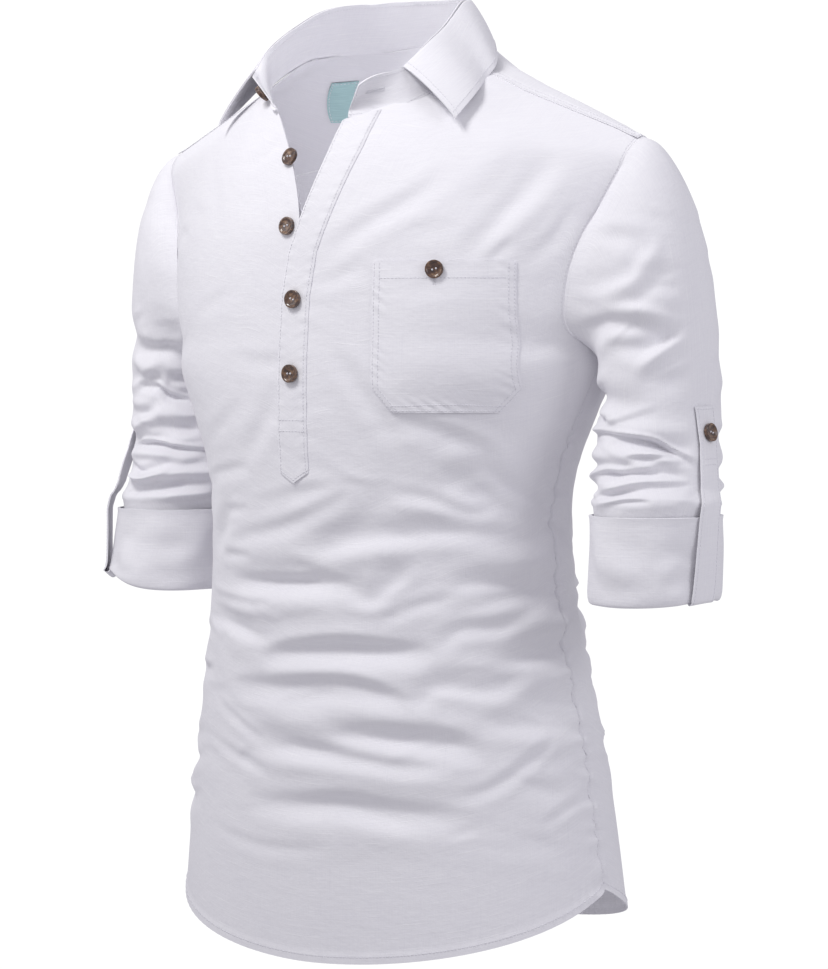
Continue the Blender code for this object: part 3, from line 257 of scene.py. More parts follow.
FOLDS = (
    # Troughs on the body: angle from the centre front, towards the wearer's left, and level
    # from_deg, from_z, to_deg, to_z, width, depth
    (-34.0, -0.423, 22.0, -0.417, 0.0110, 0.0050), (-52.0, -0.446, -6.0, -0.468, 0.0090, 0.0040),
    (-20.0, -0.483, 44.0, -0.468, 0.0120, 0.0055), (-30.0, -0.507, 34.0, -0.504, 0.0110, 0.0045),
    (4.0, -0.534, 56.0, -0.546, 0.0120, 0.0050), (-22.0, -0.543, 14.0, -0.551, 0.0090, 0.0040),
    (-20.0, -0.592, 52.0, -0.596, 0.0130, 0.0035), (0.0, -0.400, 30.0, -0.352, 0.0140, 0.0040),
    (42.0, -0.420, 96.0, -0.428, 0.0120, 0.0050), (36.0, -0.330, 70.0, -0.366, 0.0120, 0.0035),
    (-26.0, -0.358, -44.0, -0.404, 0.0100, 0.0035), (78.0, -0.370, 108.0, -0.380, 0.0110, 0.0050),
    (60.0, -0.470, 104.0, -0.478, 0.0120, 0.0050), (58.0, -0.515, 100.0, -0.505, 0.0110, 0.0045),
    (76.0, -0.082, 46.0, -0.147, 0.0140, 0.0035), (-60.0, -0.392, -104.0, -0.386, 0.0110, 0.0050),
    (-62.0, -0.470, -112.0, -0.462, 0.0120, 0.0050), (-58.0, -0.528, -100.0, -0.520, 0.0120, 0.0045),
    (128.0, -0.400, 196.0, -0.412, 0.0120, 0.0055), (170.0, -0.440, 236.0, -0.430, 0.0120, 0.0050),
    (118.0, -0.452, 176.0, -0.470, 0.0110, 0.0050), (186.0, -0.486, 244.0, -0.500, 0.0120, 0.0050),
    (134.0, -0.520, 208.0, -0.512, 0.0130, 0.0050), (150.0, -0.368, 214.0, -0.360, 0.0120, 0.0040),
    (132.0, -0.560, 172.0, -0.575, 0.0130, 0.0035), (196.0, -0.556, 236.0, -0.566, 0.0130, 0.0035),
)
SLEEVE_FOLDS = (
    # Angle from the outer side towards the front, and level, for either sleeve
    (-30.0, -0.318, 150.0, -0.312, 0.0070, 0.0045), (20.0, -0.336, 200.0, -0.334, 0.0060, 0.0045),
    (-60.0, -0.338, 30.0, -0.345, 0.0060, 0.0040), (40.0, -0.356, 260.0, -0.353, 0.0060, 0.0045),
    (-100.0, -0.356, 20.0, -0.362, 0.0055, 0.0040), (150.0, -0.318, 290.0, -0.322, 0.0070, 0.0045),
    (60.0, -0.282, 190.0, -0.276, 0.0090, 0.0045), (170.0, -0.300, 300.0, -0.296, 0.0080, 0.0040),
    (10.0, -0.215, 110.0, -0.250, 0.0110, 0.0040), (-120.0, -0.262, -20.0, -0.240, 0.0110, 0.0035),
)
RIDGE_SHARE = 0.35          # height of the ridges beside a trough
CREASE_RIDGE = 0.5          # the same beside a fine crease
RIDGE_OFFSET = 1.8          # their distance from it, in trough widths
LEAN = 0.6                  # how much steeper a fine crease's upper wall is
BODY_ARM = 0.165            # turns an angle on the body into a distance
SLEEVE_ARM = 0.055

CUFFED_ROW = 10              # the sleeve rows from here down are inside the cuff
SLEEVE_FOLD_FOOT = -0.368    # the folds end where the cuff begins
STRAP_TURNS = {
    # level and angle round the arm, from the cuff's foot up
    1: ((-0.445, 13.0), (-0.400, 8.0), (-0.350, 2.0), (-0.315, 2.0), (-0.283, 9.0)),
    -1: ((-0.445, 41.0), (-0.400, 40.0), (-0.365, 38.5), (-0.335, 34.0), (-0.306, 13.0),
         (-0.290, 8.0)),
}
STRAP_PRESS = 24.0           # the sleeve is flat this many degrees each side of a strap
STRAP_PATHS = {
    # distance outside the arm, level: up the inside, round the cuff's foot and up outside
    1: ((-0.0047, -0.4300), (-0.0046, -0.4375), (-0.0034, -0.4412), (-0.0008, -0.4424),
        (0.0014, -0.4412), (0.0026, -0.4370), (0.0032, -0.4200), (0.0032, -0.3950),
        (0.0032, -0.3740), (0.0036, -0.3500), (0.0028, -0.3280), (0.0022, -0.3050),
        (0.0020, -0.2830)),
    -1: ((-0.0047, -0.4300), (-0.0046, -0.4375), (-0.0034, -0.4416), (-0.0008, -0.4428),
         (0.0012, -0.4416), (0.0022, -0.4370), (0.0034, -0.4230), (0.0068, -0.4000),
         (0.0098, -0.3740), (0.0112, -0.3500), (0.0085, -0.3260), (0.0056, -0.3060),
         (0.0042, -0.2900)),
}

# Folds of the front that run along bent lines. upper and lower are the widths of the walls
# above and below the line, and the marks are degrees from the centre front and levels.
FOLD_LINES = (
    # upper, lower, depth, marks
    (0.0060, 0.0120, 0.0034, ((24, -0.289), (37, -0.299), (49, -0.311), (58, -0.322))),
    (0.0040, 0.0080, 0.0016, ((-54, -0.346), (-26, -0.334), (-16, -0.331))),
    (0.0060, 0.0080, 0.0024, ((-30, -0.391), (-6, -0.378), (8, -0.362), (16, -0.349))),
    (0.0120, 0.0090, 0.0046, ((4, -0.396), (17, -0.385), (30, -0.380), (45, -0.378), (64, -0.383))),
    (0.0050, 0.0100, 0.0042, ((-29, -0.423), (-5, -0.421), (15, -0.419))),
    (0.0110, 0.0070, 0.0030, ((12, -0.420), (20, -0.431), (26, -0.419), (34, -0.401))),
    (0.0040, 0.0050, 0.0018, ((-37, -0.403), (-18, -0.402))),
    (0.0040, 0.0050, 0.0014, ((-34, -0.368), (-18, -0.365))),
    (0.0040, 0.0050, 0.0020, ((-48, -0.436), (-22, -0.440), (-11, -0.439))),
    (0.0090, 0.0060, 0.0026, ((42, -0.420), (55, -0.416), (69, -0.418), (90, -0.408))),
    (0.0110, 0.0070, 0.0026, ((41, -0.343), (53, -0.331), (66, -0.346), (85, -0.356))),
    (0.0060, 0.0060, 0.0022, ((26, -0.349), (37, -0.354), (49, -0.364), (60, -0.362))),
    (0.0050, 0.0060, 0.0016, ((23, -0.449), (33, -0.437), (47, -0.427))),
    (0.0060, 0.0060, 0.0020, ((39, -0.440), (54, -0.436), (73, -0.425), (90, -0.415))),
    (0.0060, 0.0100, 0.0046, ((-16, -0.484), (-5, -0.474), (12, -0.468), (25, -0.470), (39, -0.472))),
    (0.0060, 0.0110, 0.0044, ((-29, -0.508), (-4, -0.500), (13, -0.497), (24, -0.504), (32, -0.513))),
    (0.0120, 0.0080, 0.0040, ((32, -0.514), (40, -0.497), (56, -0.500), (70, -0.487))),
    (0.0080, 0.0080, 0.0036, ((8, -0.537), (28, -0.537), (42, -0.539), (54, -0.552))),
    (0.0060, 0.0080, 0.0040, ((-16, -0.554), (0, -0.551), (15, -0.555), (30, -0.560), (44, -0.560))),
    (0.0080, 0.0110, 0.0044, ((-21, -0.596), (-3, -0.595), (13, -0.590), (28, -0.595), (50, -0.598))),
    (0.0040, 0.0050, 0.0014, ((-54, -0.453), (-30, -0.460), (-13, -0.468))),
    (0.0040, 0.0050, 0.0014, ((-40, -0.520), (-24, -0.537), (-15, -0.548))),
    (0.0050, 0.0050, 0.0016, ((-42, -0.551), (-22, -0.565), (-12, -0.572))),
    (0.0100, 0.0070, 0.0034, ((40, -0.468), (47, -0.454), (61, -0.451), (80, -0.433))),
    (0.0060, 0.0060, 0.0022, ((43, -0.583), (54, -0.576), (66, -0.557), (78, -0.536))),
    (0.0110, 0.0080, 0.0030, ((51, -0.525), (68, -0.529), (101, -0.532))),
    (0.0110, 0.0060, 0.0030, ((56, -0.479), (71, -0.476), (99, -0.464))),
    (0.0050, 0.0050, 0.0016, ((70, -0.604), (81, -0.591), (96, -0.581))),
    (0.0040, 0.0040, 0.0010, ((42, -0.612), (51, -0.605))),
    (0.0050, 0.0060, 0.0012, ((-39, -0.620), (-20, -0.629), (-6, -0.630), (9, -0.626))),
    (0.0090, 0.0080, 0.0030, ((74, -0.090), (65, -0.118), (56, -0.140), (44, -0.171))),
    (0.0080, 0.0090, 0.0024, ((43, -0.105), (31, -0.128), (20, -0.145), (8, -0.169))),
    (0.0060, 0.0070, 0.0012, ((20, -0.174), (12, -0.186), (3, -0.192))),
    (0.0050, 0.0050, 0.0016, ((59, -0.157), (51, -0.174))),
    (0.0060, 0.0080, 0.0014, ((76, -0.130), (69, -0.157), (61, -0.174))),
    (0.0080, 0.0080, 0.0018, ((11, -0.240), (19, -0.272), (30, -0.322))),
    (0.0090, 0.0090, 0.0020, ((-5, -0.268), (-10, -0.299), (-19, -0.328))),
    (0.0060, 0.0080, 0.0012, ((-22, -0.246), (-8, -0.250), (-3, -0.247))),
    (0.0070, 0.0080, 0.0012, ((-39, -0.312), (-28, -0.300), (-16, -0.281))),
    (0.0050, 0.0070, 0.0014, ((-26, -0.097), (-18, -0.084), (-14, -0.077))),
)
LINE_WIDTH = 0.82           # scale of the widths in the tables of bent folds
LINE_RIDGE = 0.45           # height of the ridges beside such a fold
BODY_LINE_DEPTH = 0.80      # scale of their depths on the body
LINE_DEPTH = 1.55           # and on the sleeves
CUFF_LINES = {
    # the same on the turned cuffs, with angles from the outer side towards the front
    1: ((0.010, 0.012, 0.0018, ((60, -0.398), (40, -0.402), (22, -0.410))),
        (0.008, 0.010, 0.0020, ((52, -0.428), (38, -0.420), (26, -0.424))),
        (0.012, 0.010, -0.0016, ((120, -0.402), (90, -0.412), (60, -0.418))),
        (0.010, 0.010, 0.0012, ((120, -0.425), (95, -0.430), (70, -0.430)))),
    -1: ((0.012, 0.012, 0.0020, ((150, -0.402), (120, -0.405), (95, -0.400))),
         (0.012, 0.012, -0.0024, ((70, -0.405), (80, -0.415), (84, -0.428))),
         (0.010, 0.012, 0.0018, ((160, -0.422), (130, -0.428), (100, -0.422)))),
}
SLEEVE_LINES = {
    # upper, lower, depth, marks: angles from the outer side towards the front, and levels
    1: ((0.0060, 0.0100, 0.0014, ((82, -0.160), (68, -0.157), (50, -0.161))),
        (0.0070, 0.0070, -0.0022, ((118, -0.199), (101, -0.2006), (70, -0.1924), (51, -0.1763),
                                   (35, -0.160))),
        (0.0070, 0.0090, 0.0034, ((145, -0.231), (110, -0.2215), (73, -0.220), (40, -0.228))),
        (0.0070, 0.0060, -0.0014, ((104, -0.2085), (59, -0.2155), (31, -0.2196), (-8, -0.217))),
        (0.0065, 0.0080, 0.0018, ((112, -0.237), (70, -0.237), (42, -0.231))),
        (0.0060, 0.0060, -0.0024, ((76, -0.2585), (53, -0.2441), (33, -0.2341), (6, -0.223))),
        (0.0050, 0.0080, 0.0028, ((138, -0.291), (121, -0.296), (96, -0.301))),
        (0.0026, 0.0060, 0.0044, ((142, -0.305), (90, -0.3085), (60, -0.3125), (42, -0.320),
                                  (25, -0.3285), (5, -0.3365))),
        (0.0026, 0.0050, 0.0026, ((82, -0.327), (61, -0.326), (35, -0.3265))),
        (0.0034, 0.0070, 0.0044, ((142, -0.3455), (108, -0.3408), (88, -0.341), (50, -0.338))),
        (0.0030, 0.0060, 0.0028, ((144, -0.3635), (98, -0.3565), (74, -0.3505), (51, -0.349),
                                  (6, -0.3505))),
        (0.0030, 0.0050, 0.0038, ((142, -0.375), (105, -0.3672), (83, -0.363), (60, -0.3622))),
        (0.0040, 0.0050, 0.0018, ((38, -0.366), (8, -0.371)))),
    -1: ((0.0050, 0.0050, 0.0012, ((96, -0.2315), (126, -0.2295), (150, -0.229))),
         (0.0060, 0.0080, 0.0036, ((66, -0.238), (107, -0.240), (128, -0.239), (166, -0.242))),
         (0.0060, 0.0080, 0.0022, ((55, -0.264), (91, -0.265), (112, -0.266))),
         (0.0060, 0.0060, 0.0030, ((116, -0.266), (135, -0.264), (160, -0.264))),
         (0.0028, 0.0050, 0.0026, ((72, -0.271), (102, -0.272), (121, -0.281), (155, -0.287))),
         (0.0060, 0.0080, 0.0028, ((45, -0.293), (83, -0.294), (104, -0.291))),
         (0.0060, 0.0060, -0.0020, ((66, -0.311), (88, -0.301), (110, -0.2945))),
         (0.0080, 0.0060, 0.0038, ((88, -0.3055), (121, -0.3055), (165, -0.311))),
         (0.0026, 0.0055, 0.0042, ((40, -0.323), (81, -0.3198), (104, -0.3205), (124, -0.3235),
                                   (160, -0.3265))),
         (0.0040, 0.0040, 0.0032, ((40, -0.338), (78, -0.342), (108, -0.3385))),
         (0.0030, 0.0030, -0.0020, ((40, -0.342), (83, -0.3485), (104, -0.345), (118, -0.338))),
         (0.0050, 0.0080, 0.0038, ((88, -0.354), (119, -0.350), (131, -0.3495), (165, -0.3475))),
         (0.0035, 0.0050, 0.0030, ((120, -0.3685), (145, -0.3675), (175, -0.3665))),
         (0.0022, 0.0040, 0.0034, ((74, -0.3755), (116, -0.373), (130, -0.371), (160, -0.368)))),
}


def smooth_rows(rows, at):
    """Read a table's rows as smooth curves at the row numbers in at (Catmull-Rom)."""
    rows = np.asarray(rows, dtype=float)
    padded = np.vstack([2 * rows[0] - rows[1], rows, 2 * rows[-1] - rows[-2]])
    at = np.clip(np.asarray(at, dtype=float), 0, len(rows) - 1)
    low = np.minimum(at.astype(int), len(rows) - 2)
    t = (at - low)[:, None]
    a, b, c, d = (padded[low + k] for k in range(4))
    return 0.5 * (2 * b + (c - a) * t + (2 * a - 5 * b + 4 * c - d) * t ** 2
                  + (3 * b - a - 3 * c + d) * t ** 3)


def read_panel_rows(rows, places):
    """Smooth rows of a panel, with a side seam that runs straight into the armpit."""
    read = smooth_rows(rows, places)
    table = np.asarray(rows, dtype=float)
    below = np.asarray(places) <= ARMPIT_ROW
    numbers = np.arange(len(table))
    read[below, 4] = np.interp(places, numbers, table[:, 4])[below]
    last = below & (np.asarray(places) >= ARMPIT_ROW - 1)
    for column in (3, 5):
        read[last, column] = np.interp(places, numbers, table[:, column])[last]
    return read


def even_places(rows, first, last, count):
    """Row numbers from first to last, spaced evenly along the mean length of the rows."""
    dense = np.linspace(first, last, 200)
    read = smooth_rows(rows, dense)[:, :6]
    step = np.linalg.norm(np.diff(read, axis=0), axis=1)
    length = np.concatenate([[0.0], np.cumsum(step)])
    return np.interp(np.linspace(0, length[-1], count), length, dense)


def trough(angle, level, table, arm, ridge=None, lean=0.0):
    """Depth of the folds at an angle (degrees) and level; troughs are negative.

    lean makes the upper wall of a trough steep and its lower wall long, as in cloth that
    sags over each fold.
    """
    depth = np.zeros_like(angle)
    ridge = RIDGE_SHARE if ridge is None else ridge
    for from_deg, from_z, to_deg, to_z, width, amount in table:
        run = np.array([math.radians(to_deg - from_deg) * arm, to_z - from_z])
        size = np.linalg.norm(run)
        along_way = run / size
        middle = 0.5 * (from_deg + to_deg)
        turned = (angle - middle + 180.0) % 360.0 - 180.0 + middle
        dx = np.radians(turned - from_deg) * arm
        dz = level - from_z
        along = (dx * along_way[0] + dz * along_way[1]) / size
        across = (dz * along_way[0] - dx * along_way[1]) / width
        across = across * np.where(across * along_way[0] > 0.0, 1.0 + lean, 1.0 - 0.5 * lean)
        fade = np.clip(1.0 - (2.0 * along - 1.0) ** 2, 0.0, 1.0) ** 1.5
        shape = -np.exp(-across ** 2)
        shape += ridge * np.exp(-(across - RIDGE_OFFSET) ** 2)
        shape += ridge * np.exp(-(across + RIDGE_OFFSET) ** 2)
        depth += amount * fade * shape
    return depth


def fold_lines(angle, level, table, arm):
    """Depth of the folds that run along bent lines, at an angle (degrees) and level."""
    depth = np.zeros_like(angle)
    for upper, lower, amount, marks in table:
        parts = 4 * (len(marks) - 1)
        line = smooth_rows(marks, np.linspace(0, len(marks) - 1, parts + 1))
        line[:, 0] = np.radians(line[:, 0]) * arm
        upper, lower = LINE_WIDTH * upper, LINE_WIDTH * lower
        spread = 4.0 * max(upper, lower)
        x = np.radians(angle) * arm
        low, high = line.min(axis=0) - spread, line.max(axis=0) + spread
        near = (x > low[0]) & (x < high[0]) & (level > low[1]) & (level < high[1])
        if not near.any():
            continue
        here = np.stack([x[near], level[near]], axis=1)
        nearest = np.full(len(here), 1.0)
        across = np.zeros(len(here))
        along = np.zeros(len(here))
        for k in range(parts):
            run = line[k + 1] - line[k]
            away = here - line[k]
            share = np.clip(away @ run / (run @ run), 0.0, 1.0)
            off = np.linalg.norm(away - share[:, None] * run, axis=1)
            above = (away[:, 1] * run[0] - away[:, 0] * run[1]) * run[0] > 0.0
            closer = off < nearest
            nearest[closer] = off[closer]
            across[closer] = np.where(above, off / upper, -off / lower)[closer]
            along[closer] = (k + share[closer]) / parts
        fade = np.sin(math.pi * along) ** 0.75
        shape = -np.exp(-across ** 2)
        shape += LINE_RIDGE * np.exp(-(across - RIDGE_OFFSET) ** 2)
        shape += LINE_RIDGE * np.exp(-(across + RIDGE_OFFSET) ** 2)
        depth[near] += amount * fade * shape
    return depth


CREASE_LENGTH = (0.030, 0.110)
CREASE_SLOPE = 0.24         # usual slope of a crease, in radians
CREASE_WIDTH = (0.0035, 0.0085)
CREASE_STEEPNESS = (0.12, 0.46)     # depth against width


def scatter_creases(seed, count, degrees, levels, arm, strength):
    """Rows of small creases, mostly level, strewn over a stretch of the garment."""
    draw = np.random.default_rng(seed)
    rows = []
    for _ in range(count):
        middle = draw.uniform(*degrees)
        level = draw.uniform(*levels)
        length = draw.uniform(*CREASE_LENGTH)
        slope = draw.normal(0.0, CREASE_SLOPE)
        half = math.degrees(length * math.cos(slope) / arm) / 2.0
        drop = length * math.sin(slope) / 2.0
        width = draw.uniform(*CREASE_WIDTH)
        depth = strength * width * draw.uniform(*CREASE_STEEPNESS)
        rows.append((middle - half, level - drop, middle + half, level + drop, width, depth))
    return rows


SIDE_PUCKERS = (
    # depth, reach from the seam, pitch down the seam, sway of the waves, pitch of the sway
    (0.0013, 0.013, 0.0170, 1.7, 0.061), (0.0005, 0.006, 0.0062, 2.2, 0.019),
)
SEAM_GROOVE = 0.0016
SEAM_GROOVE_REACH = 0.0022
PUCKER_TOP = -0.27          # above this level the side seams lie smooth


def body_angle(points):
    """Angle of points from the centre front, towards the wearer's left, in degrees."""
    return np.degrees(np.arctan2(points[..., 0] / BODY_RADIUS[0],
                                 -(points[..., 1] - BODY_CENTRE_Y) / BODY_RADIUS[1]))


def body_folds(points):
    """Move points of the body in and out by the folds, along the body's own normal."""
    dx = points[..., 0] / BODY_RADIUS[0] ** 2
    dy = (points[..., 1] - BODY_CENTRE_Y) / BODY_RADIUS[1] ** 2
    size = np.sqrt(dx ** 2 + dy ** 2)
    angle = body_angle(points)
    level = points[..., 2]
    depth = trough(angle, level, FOLDS, BODY_ARM)
    depth += BODY_LINE_DEPTH * fold_lines(angle, level, FOLD_LINES, BODY_ARM)
    depth += trough(angle, level, WAIST_CREASES, BODY_ARM, CREASE_RIDGE, LEAN)
    depth += trough(angle, level, CHEST_CREASES, BODY_ARM, CREASE_RIDGE, LEAN)
    depth += side_pucker(angle, level)
    moved = points.copy()
    moved[..., 0] += depth * dx / size
    moved[..., 1] += depth * dy / size
    return moved


def side_pucker(angle, level):
    """Small puckers that run into the side seams, and the groove along each seam."""
    seams = np.array(SIDE_SEAM[:SLIT_ROW + 1])
    seam_turn = np.interp(level, seams[:, 2], body_angle(seams))
    to_seam = np.abs(np.abs(angle) - seam_turn) * math.radians(1.0) * BODY_ARM
    change = np.zeros_like(to_seam)
    for depth, reach, pitch, sway, sway_pitch in SIDE_PUCKERS:
        wave = np.sin(level / pitch * 2.0 * math.pi
                      + sway * np.sin(level / sway_pitch * 2.0 * math.pi))
        change += depth * wave * np.exp(-(to_seam / reach) ** 2)
    change -= SEAM_GROOVE * np.exp(-(to_seam / SEAM_GROOVE_REACH) ** 2)
    below = np.clip((PUCKER_TOP - level) / 0.05, 0.0, 1.0)
    return change * below


def span(row, u):
    """Points across one row of a panel, from its inner end to its outer end."""
    turn = math.radians(row[6])
    straight = min(max(row[7], 0.0), 1.0)
    round_x = np.sin(turn * u) / math.sin(turn)
    round_y = (1.0 - np.cos(turn * u)) / (1.0 - math.cos(turn))
    share_x = (1.0 - straight) * round_x + straight * u
    share_y = (1.0 - straight) * round_y + straight * u
    hem = min(max((HEM_CURVE_TOP - row[2]) / HEM_CURVE_DEPTH, 0.0), 1.0)
    share_z = hem * np.abs(u) ** HEM_CURVE + (1.0 - hem) * share_x
    return np.stack([row[0] + (row[3] - row[0]) * share_x,
                     row[1] + (row[4] - row[1]) * share_y,
                     row[2] + (row[5] - row[2]) * share_z], axis=-1)


def panel(rows, places, u):
    """Points of a panel at row numbers places and shares u across it."""
    return np.stack([span(row, u) for row in read_panel_rows(rows, places)])


def raise_shoulders(points):
    """Lift the shoulders: nothing at the armpit or the middle, all of it at the top."""
    lifted = points.copy()
    for side, rise, inner, width, foot, height in SHOULDER_RISES:
        out = np.clip((side * points[..., 0] - inner) / width, 0.0, 1.0)
        up = np.clip((points[..., 2] - foot) / height, 0.0, 1.0)
        lifted[..., 2] += rise * out * up
    return lifted


def normals(points, outward):
    """Unit normals of a grid of points, turned to point the way outward says."""
    along = np.gradient(points, axis=0)
    across = np.gradient(points, axis=1)
    normal = np.cross(along, across)
    normal /= np.linalg.norm(normal, axis=2, keepdims=True) + 1e-12
    centre = (points.shape[0] // 2, points.shape[1] // 2)
    if np.dot(normal[centre], outward) < 0:
        normal = -normal
    return normal


def draw_in(points, sides):
    """Shorten a grid by half a seam's slit at the sides named first, last, bottom and top."""
    drawn = points.copy()
    ends = {"first": ((slice(None), 0), (slice(None), 1)),
            "last": ((slice(None), -1), (slice(None), -2)),
            "bottom": ((0, slice(None)), (1, slice(None))),
            "top": ((-1, slice(None)), (-2, slice(None)))}
    for side in sides:
        edge, inner = ends[side]
        way = points[inner] - points[edge]
        drawn[edge] += SEAM * way / np.linalg.norm(way, axis=1, keepdims=True)
    return drawn


def mirrored(points):
    """The same points on the other side of the body."""
    return points * np.array([-1.0, 1.0, 1.0])


def front_surface(side, places, u):
    """Points of one half of the front, with its folds, at row numbers places and shares u."""
    read = read_panel_rows(FRONT_ROWS[side], places)
    read[np.asarray(places) <= SLIT_ROW, 0] = 0.0
    points = np.stack([span(row, u) for row in read])
    points = raise_shoulders(points if side > 0 else mirrored(points))
    return body_folds(points)


def front_places(side, lower, upper):
    """Row numbers of a half front: lower ones up to the slit's foot and upper ones above it."""
    rows = FRONT_ROWS[side]
    below = even_places(rows, 0, SLIT_ROW, lower)
    above = even_places(rows, SLIT_ROW, len(rows) - 1, upper)
    return np.concatenate([below, above[1:]])


def yoke_surface(side, places, shares):
    """Points of half the yoke: columns run round the neck, shares from the neck outwards."""
    columns = smooth_rows(YOKE_COLUMNS, places)
    shares = np.asarray(shares)[:, None, None]
    neck = columns[None, :, 0:3]
    arm = columns[None, :, 3:6].copy()
    last = len(YOKE_COLUMNS) - 1
    on_back = np.asarray(places) >= YOKE_CORNER
    share_across = (last - np.asarray(places)[on_back]) / (last - YOKE_CORNER)
    arm[0, on_back] = span(BACK_ROWS[-1], share_across)
    points = neck + (arm - neck) * shares
    rise = columns[None, :, 6] * np.sin(math.pi * shares[..., 0])
    points[..., 2] += rise
    points[..., 1] += rise * np.clip(points[..., 1] / 0.05, -1.0, 1.0)
    return raise_shoulders(points if side > 0 else mirrored(points))


def yoke_places(count):
    """Column numbers for the half yoke, with each column of the table kept."""
    last = len(YOKE_COLUMNS) - 1
    return np.linspace(0, last, last * count + 1)


def armhole_ring(angles):
    """The armhole, read at angles in degrees from the shoulder tip round by the front.

    It is the edge of the yoke, then the edge of the front or the back down to the armpit.
    """
    ring = []
    for share, panel_rows, end in ((angles / 180.0, FRONT_ROWS[1], 0),
                                   ((360.0 - angles) / 180.0, BACK_ROWS, YOKE_CORNER)):
        over = smooth_rows(YOKE_COLUMNS, np.linspace(YOKE_TIP, end, 24))[:, 3:6]
        down = np.linspace(len(panel_rows) - 1, ARMPIT_ROW, 60)
        edge = read_panel_rows(panel_rows, down)[:, 3:6]
        path = np.concatenate([over, edge[1:]])
        length = np.concatenate([[0.0], np.cumsum(np.linalg.norm(np.diff(path, axis=0), axis=1))])
        at = np.clip(share, 0.0, 1.0) * length[-1]
        ring.append(np.stack([np.interp(at, length, path[:, axis]) for axis in range(3)], axis=-1))
    return np.where((angles <= 180.0)[:, None], ring[0], ring[1])


def shift_arm(points, side):
    """Below the armpit the left arm is carried higher and the right one closer to the body."""
    low = np.clip((ARM_SHIFT_TOP - points[..., 2]) / ARM_SHIFT_DEPTH, 0.0, 1.0)
    low = low * low * (3.0 - 2.0 * low)
    if side > 0:
        moved = raise_shoulders(points)
        moved[..., 2] += LEFT_ARM_UP * low
        return moved
    moved = raise_shoulders(mirrored(points))
    moved[..., 0] += RIGHT_ARM_IN * low
    return moved


def from_behind(angles):
    """Angles round the arm counted from -90 to 270, so that the marks in front are unbroken."""
    return (angles + 90.0) % 360.0 - 90.0


def strap_angle(side, level):
    """How far round the arm the strap lies at a level, in degrees."""
    return np.interp(level, *zip(*STRAP_TURNS[side]))


def sleeve_surface(side, places, angles):
    """Points of a sleeve with its folds; under a strap the cloth is pressed flat."""
    rings = []
    hole = armhole_ring(angles % 360.0)
    turn = np.radians(angles)
    for x_out, z_out, x_in, z_in, y_left, y_right, front, share in smooth_rows(SLEEVE_ROWS, places):
        middle = np.array([(x_out + x_in) / 2.0, y_left, (z_out + z_in) / 2.0])
        if side < 0:
            middle[1] = y_right
            x_out -= RIGHT_SLEEVE_NARROWER * (1.0 - share)
        reach = np.array([(x_out - x_in) / 2.0, 0.0, (z_out - z_in) / 2.0])
        ring = middle + np.cos(turn)[:, None] * reach
        ring[:, 1] -= front * np.sin(turn)
        share = min(max(share, 0.0), 1.0)
        ring = share * hole + (1.0 - share) * ring
        depth = trough(angles, ring[:, 2], SLEEVE_FOLDS, SLEEVE_ARM)
        depth += LINE_DEPTH * fold_lines(from_behind(angles), ring[:, 2], SLEEVE_LINES[side],
                                         SLEEVE_ARM)
        depth += trough(angles, ring[:, 2], SLEEVE_CREASES[side], SLEEVE_ARM, CREASE_RIDGE, LEAN)
        depth *= np.clip((ring[:, 2] - SLEEVE_FOLD_FOOT) / 0.008, 0.0, 1.0) * (1.0 - share)
        strap_gap = (angles - strap_angle(side, ring[:, 2]) + 180.0) % 360.0 - 180.0
        depth *= 1.0 - np.exp(-(strap_gap / STRAP_PRESS) ** 4)
        way = reach / np.linalg.norm(reach)
        ring += (depth * np.cos(turn))[:, None] * way
        ring[:, 1] -= depth * np.sin(turn)
        rings.append(ring)
    return shift_arm(np.stack(rings), side)


def round_arm(side, angles, out, level):
    """Points round the arm, this far outside it, at angles from its outer side to the front.

    Below the cuff's top edge the arm is the cuff, above it the outer side of the sleeve.
    """
    down = min(max((CUFF_TOP - level) / (CUFF_TOP - CUFF_FOOT), 0.0), 1.0)
    wide, deep = np.array(CUFF_HALF) + CUFF_FLARE * down
    middle_x = CUFF_CENTRE_X
    middle_y = CUFF_MIDDLE[side][0] + down * (CUFF_MIDDLE[side][1] - CUFF_MIDDLE[side][0])
    if level > CUFF_TOP:
        rows = np.array(SLEEVE_ROWS)[:CUFFED_ROW]
        x_out, x_in, y_left, y_right, front = (
            np.interp(-level, -rows[:, 1], rows[:, column]) for column in (0, 2, 4, 5, 6))
        share = min((level - CUFF_TOP) / 0.015, 1.0)
        x_out -= RIGHT_SLEEVE_NARROWER * (side < 0)
        wide += share * ((x_out - x_in) / 2.0 - wide)
        deep += share * (front - deep)
        middle_x += share * ((x_out + x_in) / 2.0 - middle_x)
        middle_y += share * ((y_left if side > 0 else y_right) - middle_y)
    turn = np.radians(angles)
    corner, spread, rise, flare = CUFF_CORNERS[side]
    bent = np.exp(-(((angles - corner + 180.0) % 360.0 - 180.0) / spread) ** 2)
    radius = 1.0 / np.hypot(np.cos(turn) / wide, np.sin(turn) / deep) + out
    radius = radius + flare * down ** 2 * bent
    points = np.stack([middle_x + radius * np.cos(turn), middle_y - radius * np.sin(turn),
                       level + rise * down ** 4 * bent], axis=-1)
    return shift_arm(points, side)


def strap_surface(side, places, across):
    """Points of a strap at row numbers of its path and distances across it."""
    rows = []
    for out, level in smooth_rows(STRAP_PATHS[side], places):
        angles = strap_angle(side, level) + np.degrees(across / CUFF_HALF[0])
        rows.append(round_arm(side, angles, out, level))
    return np.stack(rows)


def placket_rows(levels, edge_column, shares, way):
    """x of a strip's points: from one column of PLACKET_EDGE, way says to which side."""
    edges = np.interp(levels, [row[0] for row in PLACKET_EDGE],
                      [row[edge_column] for row in PLACKET_EDGE])
    return edges[:, None] + way * shares[None, :] * STRIP_WIDTH


